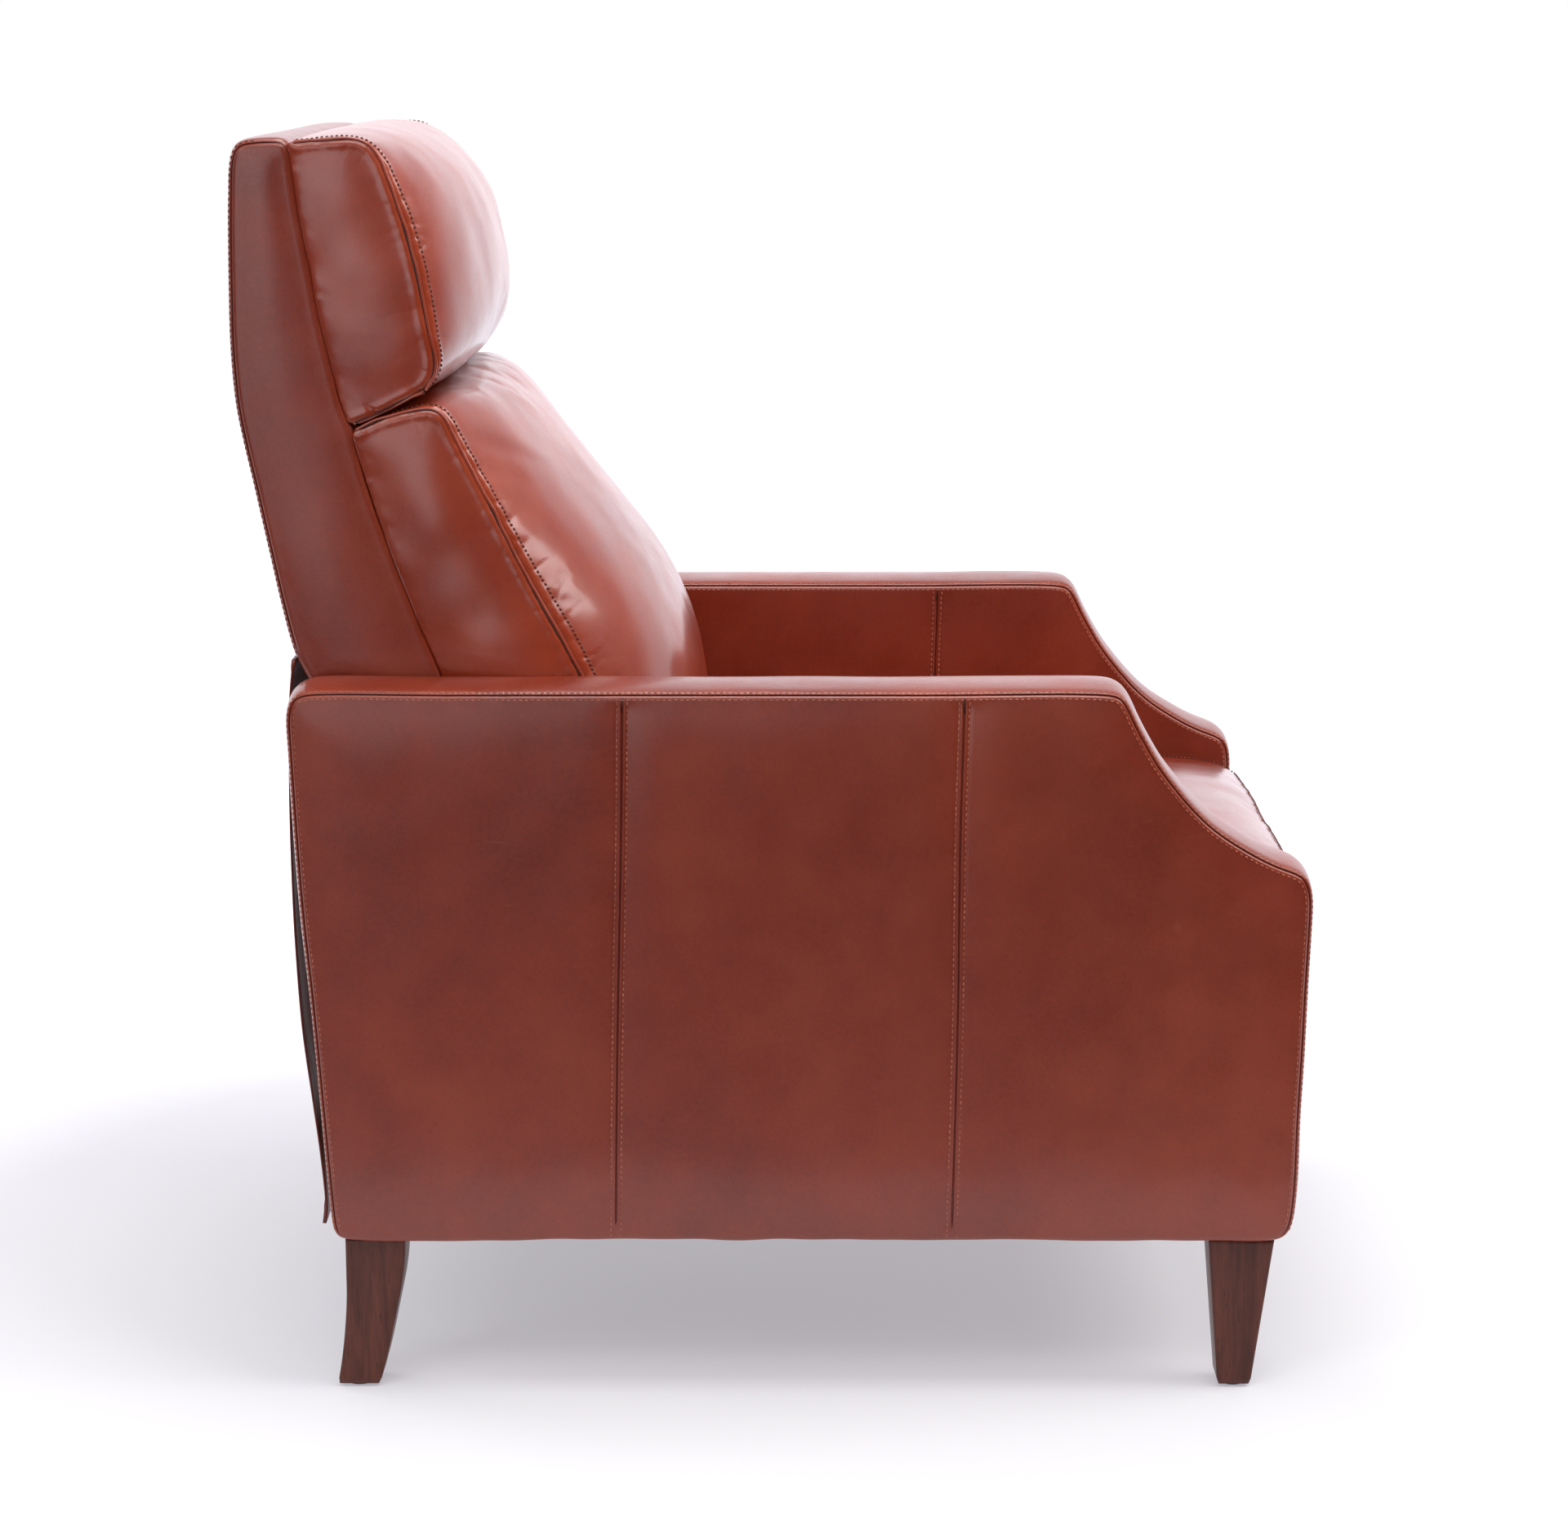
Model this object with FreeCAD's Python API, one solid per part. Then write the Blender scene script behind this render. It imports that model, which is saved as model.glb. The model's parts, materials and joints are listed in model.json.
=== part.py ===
import FreeCAD, Part
import math
import os

# Push-back recliner armchair on wooden legs.
# Units: millimetres.  +Z up, the sitter faces -Y, +X is the sitter's left.
# Origin: on the floor, under the centre of the whole chair's bounding box.
# Side profiles are written as (f, z): f is the distance forward of the middle
# of the arm panels, z the height above the floor.

# ----------------------------------------------------------- driving dimensions
WIDTH = 720.0            # outside of arm to outside of arm
ARM_T = 88.0             # arm thickness
ARM_TOP = 618.0          # top of the arms
BODY_BOTTOM = 137.5      # underside of the arms, which is the top of the legs
FC = 20.0                # the chair's box centre lies this far behind the arm panels' middle
SIDE_GAP = 5.0           # back and seat to arm, each side
WALL = 10.0              # padding and leather over the faces of the arm's timber frame
PIVOT_R = 5.0            # rivets and pivot pins
RUN = 0.05               # radial running clearance of every pivot

LINK_L = 145.0           # seat swing links, pin to pin
SWING = 25.0             # swing links lean this far back at rest, and as far forward when reclined
BASE_PIVOT_Z = 168.0
FRONT_BASE_F = 200.0
REAR_BASE_F = -150.0

BACK_PIVOT = (-215.0, 322.0)

FOOT_P0 = (290.0, 300.0)   # footrest links: pivot on the seat side plate
FOOT_L = 150.0             # both footrest links, pin to pin
FOOT_DIR = 10.0            # the footrest's straight path climbs at this angle
FOOT_BETA0 = 75.0          # half-opening of the folded linkage
LINK_W = 11.0              # half width of all links

# layers across the chair: distance of each steel layer from the centre plane
X_ARM = WIDTH / 2 - ARM_T              # 272, inner face of the arms
X_RAIL = (266.0, X_ARM)                # mechanism rail on the arm
X_SWING = (258.0, 262.0)
X_PLATE = (250.0, 254.0)
X_INNER = (243.0, 247.0)
X_OUTER = (236.0, 240.0)
X_BRACKET = (229.0, 233.0)

os.makedirs("parts", exist_ok=True)
V = FreeCAD.Vector


def pt(f, z, x=0.0):
    return V(x, -f - FC, z)


def save(name, *shapes):
    out = shapes[0] if len(shapes) == 1 else Part.makeCompound(list(shapes))
    out.exportStep("parts/%s.step" % name)


def prism(pts, x0, x1):
    w = Part.makePolygon([pt(f, z, x0) for f, z in pts] + [pt(pts[0][0], pts[0][1], x0)])
    return Part.Face(w).extrude(V(x1 - x0, 0, 0))


def box(x0, x1, f0, f1, z0, z1):
    return Part.makeBox(x1 - x0, f1 - f0, z1 - z0, V(x0, -f1 - FC, z0))


def rod(f, z, r, x0, x1):
    return Part.makeCylinder(r, x1 - x0, pt(f, z, x0), V(1, 0, 0))


def tube(f, z, r, wall, x0, x1):
    return rod(f, z, r, x0, x1).cut(rod(f, z, r - wall, x0 - 1, x1 + 1))


def sides(x0, x1):
    return ((x0, x1), (-x1, -x0))


def link(a, b, w, x0, x1, holes=()):
    """A flat steel link with round ends from pin a to pin b."""
    d = math.hypot(b[0] - a[0], b[1] - a[1])
    ux, uz = (b[0] - a[0]) / d, (b[1] - a[1]) / d
    nx, nz = -uz * w, ux * w
    body = prism([(a[0] + nx, a[1] + nz), (b[0] + nx, b[1] + nz),
                  (b[0] - nx, b[1] - nz), (a[0] - nx, a[1] - nz)], x0, x1)
    s = body.fuse(rod(a[0], a[1], w, x0, x1)).fuse(rod(b[0], b[1], w, x0, x1)).removeSplitter()
    for h in holes:
        s = s.cut(rod(h[0], h[1], PIVOT_R + RUN, x0 - 1, x1 + 1))
    return s


def pin(p, x0, x1, head_in=None, head_out=None, r=PIVOT_R):
    """A rivet along X; heads are (x0, x1) slabs of 9 mm radius."""
    s = rod(p[0], p[1], r, x0, x1)
    for h in (head_in, head_out):
        if h:
            s = s.fuse(rod(p[0], p[1], 9.0, h[0], h[1]))
    return s.removeSplitter()


def polar(p, deg, l):
    return (p[0] + l * math.cos(math.radians(deg)), p[1] + l * math.sin(math.radians(deg)))


# ----------------------------------------------------------------- key pivots
FRONT_BASE = (FRONT_BASE_F, BASE_PIVOT_Z)
REAR_BASE = (REAR_BASE_F, BASE_PIVOT_Z)
FRONT_TOP = polar(FRONT_BASE, 90 + SWING, LINK_L)
REAR_TOP = polar(REAR_BASE, 90 + SWING, LINK_L)
KNEE = polar(FOOT_P0, FOOT_DIR - FOOT_BETA0, FOOT_L)
TIP = polar(KNEE, FOOT_DIR + FOOT_BETA0, FOOT_L)
print("FRONT_TOP", FRONT_TOP, "REAR_TOP", REAR_TOP, "KNEE", KNEE, "TIP", TIP)

# ------------------------------------------------------------------ the arms
ARM_OUTLINE = [
    (-399, BODY_BOTTOM), (-404, 139.5), (-407, 146), (-409.5, 169), (-415, 245), (-422.5, 351),
    (-428.5, 420), (-432.5, 487), (-436, 566), (-437, 600), (-434.5, 609), (-428, 615.5), (-418, ARM_TOP),
    (262, ARM_TOP), (270, 615.5), (276, 608.5), (283, 594), (289, 582), (296, 569.5), (303, 557.5),
    (310, 547), (317, 538), (324.5, 528.5), (332, 520), (339, 512.5), (346, 506), (353, 500), (360, 495),
    (367, 490.5), (374, 486), (381, 482), (388, 478), (395, 474.5), (402, 471), (409, 468.5), (416, 466),
    (424, 463), (430, 458.5), (434.5, 451), (436, 441), (435.8, 420), (434, 370), (432, 298), (430, 243),
    (429, 188), (426, 155), (422.5, 144), (416, 138.8), (408, BODY_BOTTOM)]
ARM_CAVITY = [(-392, 152), (-414, 420), (-420, 604), (258, 604), (288, 548), (330, 498), (372, 466), (420, 446), (412, 152)]

LEG_BOLTS = [(-370.0, 322.0), (380.0, 322.0)]   # (f, x) of the hanger bolts


def bolt_hole(f, x, z0, z1, r):
    return Part.makeCylinder(r, z1 - z0, V(x, -f - FC, z0), V(0, 0, 1))


for side, s in (("left", 1), ("right", -1)):
    xo, xi = WIDTH / 2, X_ARM
    cover = prism(ARM_OUTLINE, xi, xo).cut(prism(ARM_CAVITY, xi + WALL, xo - WALL))
    fr = []
    fx0, fx1 = xi + WALL, xo - WALL
    rail = prism([(-391, 153), (-394.5, 193), (411, 193), (410.5, 153)], fx0, fx1)
    for f, x in LEG_BOLTS:
        rail = rail.cut(bolt_hole(f, x, 150, 200, 4.05))
        cover = cover.cut(bolt_hole(f, x, 130, 160, 4.05))
    fr.append(rail)
    fr.append(prism([(-394.5, 193.3), (-413, 420), (-417, 562), (-372, 562), (-360, 420), (-350, 193.3)], fx0, fx1))
    fr.append(prism([(-417, 562.3), (-418, 602), (256, 602), (276, 562.3)], fx0, fx1))
    fr.append(prism([(0, 193.3), (0, 562), (45, 562), (45, 193.3)], fx0, fx1))
    fr.append(prism([(366, 193.3), (366, 430), (418, 430), (412, 193.3)], fx0, fx1))
    fr.append(prism([(230, 562), (276, 562), (287, 545), (329, 495), (371, 463), (417, 444), (417.5, 430.3),
                     (366, 430.3), (318, 450), (280, 490), (250, 530)], fx0, fx1))
    if s < 0:
        cover = cover.mirror(V(0, 0, 0), V(1, 0, 0))
        fr = [q.mirror(V(0, 0, 0), V(1, 0, 0)) for q in fr]
    save("arm_cover_" + side, cover)
    save("arm_frame_" + side, *fr)

# ------------------------------------------------------------------ the legs
GLIDE = 3.0
REAR_LEG = [(-396, BODY_BOTTOM), (-396, 83), (-397, 68), (-399, 46), (-402, 23), (-405.5, GLIDE),
            (-368.5, GLIDE), (-361, 31), (-353, 68), (-347, 98), (-344, 128), (-343.5, BODY_BOTTOM)]
FRONT_LEG = [(352, BODY_BOTTOM), (363, GLIDE), (392, GLIDE), (409.5, BODY_BOTTOM)]


def leg(profile, top_x, foot_x):
    """Side profile extruded across, then tapered across by two slanted cuts."""
    body = prism(profile, top_x[0], top_x[1])
    wedge = []
    for (xt, xf, s) in ((top_x[0], foot_x[0], -1), (top_x[1], foot_x[1], 1)):
        far = xt + s * 60
        w = Part.makePolygon([V(xt, -600, BODY_BOTTOM), V(xf, -600, 0), V(far, -600, 0), V(far, -600, BODY_BOTTOM), V(xt, -600, BODY_BOTTOM)])
        wedge.append(Part.Face(w).extrude(V(0, 1200, 0)))
    for w in wedge:
        body = body.cut(w)
    return body


glides, bolts = [], []
for end, prof, f_foot, (bf, bx) in (("rear", REAR_LEG, (-403, -372), LEG_BOLTS[0]), ("front", FRONT_LEG, (366, 389), LEG_BOLTS[1])):
    for side, s in (("left", 1), ("right", -1)):
        shape = leg(prof, (298.0, 346.0), (304.0, 340.0) if end == "front" else (302.0, 342.0))
        shape = shape.cut(bolt_hole(bf, bx, 90, 140, 4.05))
        if s < 0:
            shape = shape.mirror(V(0, 0, 0), V(1, 0, 0))
        save("leg_%s_%s" % (end, side), shape)
        fm = (f_foot[0] + f_foot[1]) / 2
        glides.append(Part.makeCylinder(13.0 if end == "rear" else 11.0, GLIDE, V(s * bx, -fm - FC, 0), V(0, 0, 1)))
        b = Part.makeCylinder(4.0, 95.0, V(s * bx, -bf - FC, 90.5), V(0, 0, 1))
        bolts.append(b)
save("leg_glides", *glides)
save("leg_bolts", *bolts)

# ------------------------------------------------------- base between the arms
save("front_base_rail", box(-X_ARM, X_ARM, 292, 316, 138, 163))
save("rear_base_rail", box(-X_ARM, X_ARM, -403, -381, 140, 205))
for (side, (x0, x1)) in zip(("left", "right"), sides(*X_RAIL)):
    r = box(x0, x1, -375, 285, 148, 188)
    for p in (FRONT_BASE, REAR_BASE):
        r = r.cut(rod(p[0], p[1], PIVOT_R + RUN, x0 - 1, x1 + 1))
    for f in (-340.0, -20.0, 260.0):
        r = r.cut(rod(f, 168, 3.05, x0 - 1, x1 + 1))
    save("mechanism_rail_" + side, r)
# lag screws hold the rails to the arms; their heads stand on the rail's inner face
screws = []
for (x0, x1) in sides(*X_RAIL):
    for f in (-340.0, -20.0, 260.0):
        if x0 > 0:
            screws.append(rod(f, 168, 3.0, x0, x1).fuse(rod(f, 168, 6.0, x0 - 3.0, x0)).removeSplitter())
        else:
            screws.append(rod(f, 168, 3.0, x0, x1).fuse(rod(f, 168, 6.0, x1, x1 + 3.0)).removeSplitter())
save("rail_screws", *screws)
# base pivot pins: riveted in the rail, running in the swing links
pins = []
for p in (FRONT_BASE, REAR_BASE):
    pins.append(pin(p, 255.5, X_ARM, (254.5, 257.5)))
    pins.append(pin(p, -X_ARM, -255.5, (-257.5, -254.5)))
save("base_pivot_pins", *pins)

# ------------------------------------------------------------ rear leather skirt
SKIRT = [(-440.5, 632), (-442.5, 615), (-445, 590), (-447.5, 528), (-448.5, 455), (-447.5, 381), (-443, 306),
         (-434.5, 239), (-428, 185), (-424.5, 140), (-426, 122)]
inner = [(f + 2.5, z) for f, z in SKIRT]
save("rear_skirt", prism(SKIRT + inner[::-1], -(X_ARM - 8), X_ARM - 8))

# --------------------------------------------------------------- swing links
for name, a, b in (("front", FRONT_BASE, FRONT_TOP), ("rear", REAR_BASE, REAR_TOP)):
    mid = ((a[0] + b[0]) / 2, (a[1] + b[1]) / 2)
    for (side, (x0, x1)) in zip(("left", "right"), sides(*X_SWING)):
        save("%s_swing_link_%s" % (name, side), link(a, b, LINK_W, x0, x1, (a, b)))
    save("%s_swing_tube" % name, tube(mid[0], mid[1], 8.0, 1.5, -X_SWING[0], X_SWING[0]))

# ---------------------------------------------------------------- seat carriage
PLATE = [(-236, 278), (325, 278), (325, 320), (-185, 320), (-190, 342), (-240, 342)]
for (side, (x0, x1)) in zip(("left", "right"), sides(*X_PLATE)):
    p = prism(PLATE, x0, x1)
    for h in (FRONT_TOP, REAR_TOP, BACK_PIVOT, FOOT_P0):
        p = p.cut(rod(h[0], h[1], PIVOT_R + RUN, x0 - 1, x1 + 1))
    save("seat_side_plate_" + side, p)
save("front_cross_tube", tube(215, 299, 10.0, 2.0, -X_PLATE[0], X_PLATE[0]))
save("rear_cross_tube", tube(-150, 299, 10.0, 2.0, -X_PLATE[0], X_PLATE[0]))
# timber seat frame, standing on steel tabs on the plates
save("seat_rail_left", box(222, 262, -165, 340, 330, 350))
save("seat_rail_right", box(-262, -222, -165, 340, 330, 350))
save("seat_rail_front", box(-262, 262, 340, 362, 330, 350))
save("seat_rail_rear", box(-222, 222, -165, -143, 330, 350))
save("seat_frame_tabs", *[box(x0, x1, f - 20, f + 20, 320, 330) for (x0, x1) in sides(*X_PLATE) for f in (-130.0, 60.0, 250.0)])


def sinuous(x, f0, f1, z, amp=24.0, pitch=22.0, w=1.8):
    """A zig-zag (sinuous) spring lying along the depth: square-turned wire."""
    n = int((f1 - f0) / pitch)
    pitch = (f1 - f0) / n
    parts = []
    sgn = 1
    for i in range(n):
        a = f0 + i * pitch
        xa = x + sgn * amp / 2
        parts.append(box(xa - w, xa + w, a, a + pitch + 2 * w if i < n - 1 else a + pitch, z - w, z + w))
        if i < n - 1:
            parts.append(box(x - amp / 2 - w, x + amp / 2 + w, a + pitch, a + pitch + 2 * w, z - w, z + w))
        sgn = -sgn
    s = parts[0]
    return s.fuse(parts[1:]).removeSplitter()


seat_springs, seat_clips = [], []
for x in (-168.0, -84.0, 0.0, 84.0, 168.0):
    seat_springs.append(sinuous(x, -142.0, 339.0, 341.0))
    for f in (-154.0, 351.0):
        seat_clips.append(box(x - 16, x + 16, f - 8, f + 8, 350.0, 351.5))
save("seat_springs", *seat_springs)
save("seat_spring_clips", *seat_clips)

SEAT = [(-172, 353), (395, 353), (424, 357), (441, 370), (448.5, 390), (449, 408), (443, 422), (430, 434),
        (405, 443), (360, 449), (300, 452), (200, 451), (100, 446), (0, 438), (-80, 430), (-140, 422), (-168, 412), (-172, 400)]
SEAT_EDGE = [(-168, 356), (395, 356), (420, 360), (436, 372), (444, 390), (444, 406), (438, 417), (426, 425),
             (403, 430), (360, 433), (300, 434), (200, 431), (100, 426), (0, 420), (-80, 413), (-138, 406), (-163, 400), (-168, 392)]


def loft(sections):
    wires = []
    for x, pts in sections:
        wires.append(Part.makePolygon([pt(f, z, x) for f, z in pts] + [pt(pts[0][0], pts[0][1], x)]))
    return Part.makeLoft(wires, True, True)


XS = X_ARM - SIDE_GAP      # 267
save("seat_cushion", loft([(-XS, SEAT_EDGE), (-190, SEAT), (190, SEAT), (XS, SEAT_EDGE)]))

# top pins of the swing links: riveted in the side plates
pins = []
for p in (FRONT_TOP, REAR_TOP):
    pins.append(pin(p, 248.0, 263.5, (248.0, 249.9), (262.3, 265.0)))
    pins.append(pin(p, -263.5, -248.0, (-265.0, -262.3), (-249.9, -248.0)))
save("carriage_pivot_pins", *pins)

# ------------------------------------------------------------------- the back
BACK_REAR = [(-473, 1075), (-480, 1071), (-485, 1059), (-487.5, 1025), (-488.5, 990), (-489, 945), (-489, 904), (-485.5, 851),
             (-479.5, 816), (-472, 781), (-461, 727), (-450, 674), (-441, 640)]
BACK_LOW = [(-420, 600), (-385, 550), (-345, 490), (-312, 445)]
BACK_FRONT = [(-236, 432), (-262, 500), (-288, 562), (-311, 620), (-328, 663), (-348, 717), (-368, 772), (-378, 809),
              (-383, 832), (-391, 851), (-399, 886), (-407, 921), (-413, 956), (-419, 990), (-425, 1025), (-429, 1059), (-430, 1077)]
outer = BACK_REAR + BACK_LOW + BACK_FRONT
CAV = [(-476, 1068), (-481, 1020), (-482.5, 945), (-482.5, 904), (-479, 852), (-466, 783), (-444, 676), (-435, 642),
       (-414, 602), (-338, 490), (-302, 430), (-243, 425), (-268, 500), (-317, 620), (-354, 717), (-375, 775), (-390, 834),
       (-414, 921), (-426, 990), (-436, 1068)]
cover = prism(outer, -XS, XS).cut(prism(CAV, -XS + 6, XS - 6))
save("outer_back_cover", cover)

STILE = [(-474, 1064), (-479.5, 1018), (-480.5, 945), (-480.5, 905), (-477, 852), (-464, 784), (-442, 677), (-433, 642),
         (-412, 602), (-336, 490), (-304, 441), (-250, 436), (-272, 500), (-320, 620), (-357, 717), (-378, 775), (-392, 834),
         (-416, 921), (-428, 990), (-438, 1064)]
save("back_stile_left", prism(STILE, 221, 243))
save("back_stile_right", prism(STILE, -243, -221))
save("back_top_rail", box(-221, 221, -474, -444, 1012, 1060))
save("back_middle_rail", box(-221, 221, -440, -412, 742, 800))
save("back_bottom_rail", box(-221, 221, -318, -286, 462, 500))


def slant(x, a, b, amp=24.0, w=1.8):
    """A sinuous spring in the plane of the back, between (f, z) points a and b."""
    d = math.hypot(b[0] - a[0], b[1] - a[1])
    s = sinuous(x, 0.0, d, 0.0, amp)
    ang = math.degrees(math.atan2(b[1] - a[1], b[0] - a[0]))
    s.translate(V(0, FC, 0))
    # along -Y at rest: turn about X so that it climbs from a to b
    s.rotate(V(0, 0, 0), V(1, 0, 0), -ang)
    s.translate(V(0, -a[0] - FC, a[1]))
    return s


springs, clips = [], []
for x in (-150.0, -50.0, 50.0, 150.0):
    springs.append(slant(x, (-284.0, 502.0), (-402.0, 776.0)))
    springs.append(slant(x, (-405.0, 790.0), (-440.5, 1018.0)))
save("back_springs", *springs)
BRACKET = [(-236, 312), (-226, 302), (-204, 302), (-194, 312), (-200, 345), (-252, 430), (-266, 470), (-322, 610), (-366, 610), (-320, 500), (-290, 455), (-236, 345)]
for (side, (x0, x1)) in zip(("left", "right"), sides(*X_INNER)):
    b = prism(BRACKET, x0, x1).cut(rod(BACK_PIVOT[0], BACK_PIVOT[1], PIVOT_R + RUN, x0 - 1, x1 + 1))
    save("back_bracket_" + side, b)
pins = [pin(BACK_PIVOT, 239.5, 256.0, (239.5, 242.7), (254.3, 257.0)),
        pin(BACK_PIVOT, -256.0, -239.5, (-257.0, -254.3), (-242.7, -239.5))]
save("back_pivot_pins", *pins)

def front_at(z):
    """Forward position of the back's front face at height z."""
    line = sorted(BACK_FRONT, key=lambda q: q[1])
    for (f0, z0), (f1, z1) in zip(line, line[1:]):
        if z0 <= z <= z1:
            return f0 + (f1 - f0) * (z - z0) / (z1 - z0)
    return line[0][0] if z < line[0][1] else line[-1][0]


def back_line(zs):
    return [(front_at(z) + 1.2, z) for z in zs]


LUMBAR_Z = [444, 508, 553, 612, 655, 709, 764, 800, 826]
LUMBAR_MID = back_line(LUMBAR_Z) + [
    (-350, 846), (-322, 861), (-296, 868), (-275, 861), (-245, 832), (-215, 794), (-185, 756), (-154, 718), (-124, 679),
    (-105, 641), (-94, 606), (-88, 572), (-84, 530), (-86, 492), (-100, 466), (-140, 450), (-190, 443)]
LUMBAR_EDGE = back_line(LUMBAR_Z) + [
    (-362, 838), (-340, 844), (-317, 847), (-306, 842), (-296, 826), (-283, 800), (-269, 773), (-242, 718), (-222, 679),
    (-203, 645), (-186, 610), (-172, 575), (-162, 535), (-160, 500), (-168, 474), (-190, 458), (-215, 450)]
save("lumbar_cushion", loft([(-XS, LUMBAR_EDGE), (-170, LUMBAR_MID), (170, LUMBAR_MID), (XS, LUMBAR_EDGE)]))

HEAD_Z = [836, 858, 893, 928, 963, 997, 1032, 1056]
HEAD_MID = back_line(HEAD_Z) + [
    (-427, 1078), (-408, 1083.5), (-376, 1085), (-346, 1079), (-324, 1066), (-302, 1044), (-287, 1020), (-277, 987), (-271, 953),
    (-270, 923), (-274, 900), (-284, 884), (-298, 873), (-340, 856)]
HEAD_EDGE = back_line(HEAD_Z) + [
    (-427, 1074), (-402, 1076), (-375, 1077.5), (-364, 1073), (-354, 1059), (-345, 1034), (-335, 1004), (-326, 970), (-320, 938),
    (-315, 910), (-312, 893), (-312, 877), (-319, 866), (-345, 853)]
save("head_cushion", loft([(-XS, HEAD_EDGE), (-170, HEAD_MID), (170, HEAD_MID), (XS, HEAD_EDGE)]))

# ---------------------------------------------------------------- the footrest
for (side, (x0, x1)) in zip(("left", "right"), sides(*X_INNER)):
    save("footrest_inner_link_" + side, link(FOOT_P0, KNEE, LINK_W, x0, x1, (KNEE, FOOT_P0)))
for (side, (x0, x1)) in zip(("left", "right"), sides(*X_OUTER)):
    save("footrest_outer_link_" + side, link(KNEE, TIP, LINK_W, x0, x1, (KNEE, TIP)))
save("footrest_torque_tube", tube(FOOT_P0[0], FOOT_P0[1], 9.0, 2.0, -X_INNER[0] + 3.0, X_INNER[0] - 3.0))
pins = [pin(FOOT_P0, 240.0, 256.0, (240.0, 242.7), (254.3, 257.0)),
        pin(FOOT_P0, -256.0, -240.0, (-257.0, -254.3), (-242.7, -240.0))]
pins += [pin(KNEE, 233.0, 249.0, (233.0, 235.7), (247.3, 249.5)), pin(KNEE, -249.0, -233.0, (-249.5, -247.3), (-235.7, -233.0))]
save("footrest_link_pins", *pins)

OB = (378.0, 390.0)        # footrest board, front and rear faces
OZ = (152.0, 330.0)
for (side, (x0, x1)) in zip(("left", "right"), sides(*X_BRACKET)):
    br = prism([(357, 306), (357, 320), (373, 324), (OB[0] - 0.2, 318), (OB[0] - 0.2, 190), (372, 190), (364, 296)], x0, x1)
    br = br.cut(rod(TIP[0], TIP[1], PIVOT_R + RUN, x0 - 1, x1 + 1))
    save("footrest_bracket_" + side, br)
save("footrest_board", box(-250, 250, OB[0], OB[1], OZ[0] + 6, 318))
PAD = [(OB[1] + 0.2, OZ[0] + 2), (410, OZ[0]), (422, OZ[0] + 5), (428, OZ[0] + 20), (429, 236), (428, OZ[1] - 20), (422, OZ[1] - 5),
       (410, OZ[1]), (OB[1] + 0.2, OZ[1] - 2)]
save("footrest_pad", prism(PAD, -XS, XS))
pins = [pin(TIP, 226.0, 242.0, (226.0, 228.7), (240.3, 242.3)), pin(TIP, -242.0, -226.0, (-242.3, -240.3), (-228.7, -226.0))]
save("footrest_tip_pins", *pins)
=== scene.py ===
import json
import math
import random

import bmesh
import bpy
import numpy as np
from mathutils import Matrix, Vector, noise
from mathutils.bvhtree import BVHTree
from mathutils.geometry import delaunay_2d_cdt
from mathutils.kdtree import KDTree


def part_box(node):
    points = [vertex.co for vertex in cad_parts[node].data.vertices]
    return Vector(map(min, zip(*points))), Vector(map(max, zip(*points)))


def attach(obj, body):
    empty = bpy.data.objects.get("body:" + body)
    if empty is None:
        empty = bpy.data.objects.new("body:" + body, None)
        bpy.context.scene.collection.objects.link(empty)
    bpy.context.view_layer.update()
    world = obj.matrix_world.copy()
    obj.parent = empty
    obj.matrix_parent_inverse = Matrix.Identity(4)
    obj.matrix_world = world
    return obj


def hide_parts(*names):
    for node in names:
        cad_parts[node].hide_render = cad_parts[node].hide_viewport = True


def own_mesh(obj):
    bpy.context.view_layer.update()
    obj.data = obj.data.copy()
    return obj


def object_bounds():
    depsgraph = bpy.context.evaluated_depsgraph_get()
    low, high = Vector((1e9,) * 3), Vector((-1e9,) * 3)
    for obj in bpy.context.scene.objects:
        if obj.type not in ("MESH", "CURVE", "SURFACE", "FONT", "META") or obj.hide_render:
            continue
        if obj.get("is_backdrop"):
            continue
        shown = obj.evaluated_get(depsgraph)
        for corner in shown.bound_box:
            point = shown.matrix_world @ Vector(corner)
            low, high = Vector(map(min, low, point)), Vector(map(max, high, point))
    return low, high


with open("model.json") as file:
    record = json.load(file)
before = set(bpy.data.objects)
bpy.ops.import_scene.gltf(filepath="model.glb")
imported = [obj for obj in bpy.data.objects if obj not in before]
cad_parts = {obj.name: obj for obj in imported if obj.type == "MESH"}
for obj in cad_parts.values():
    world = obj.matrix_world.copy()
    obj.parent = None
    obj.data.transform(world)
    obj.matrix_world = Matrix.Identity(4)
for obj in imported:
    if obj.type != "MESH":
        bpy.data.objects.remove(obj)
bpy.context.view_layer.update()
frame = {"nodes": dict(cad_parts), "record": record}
NODES = frame["nodes"]
random.seed(7)

# --------------------------------------------------------------------- frame
# side profiles are (f, z) in millimetres: f forward of the arms' middle, z up
ARM_LO, ARM_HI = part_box("arm_cover_left")
FC = 1000 * (-(ARM_LO.y + ARM_HI.y) / 2) + 0.5     # the arms' middle in the row frame (20); y = -(f + FC)/1000
HALF_W = ARM_HI.x * 1000                           # 360
ARM_IN = ARM_LO.x * 1000                           # 272


def P(f, z, x):
    return Vector((x / 1000.0, -(f + FC) / 1000.0, z / 1000.0))


def arr(f, z, x):
    f, z, x = np.broadcast_arrays(np.asarray(f, float), np.asarray(z, float), np.asarray(x, float))
    return np.stack([x / 1000.0, -(f + FC) / 1000.0, z / 1000.0], -1)


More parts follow.
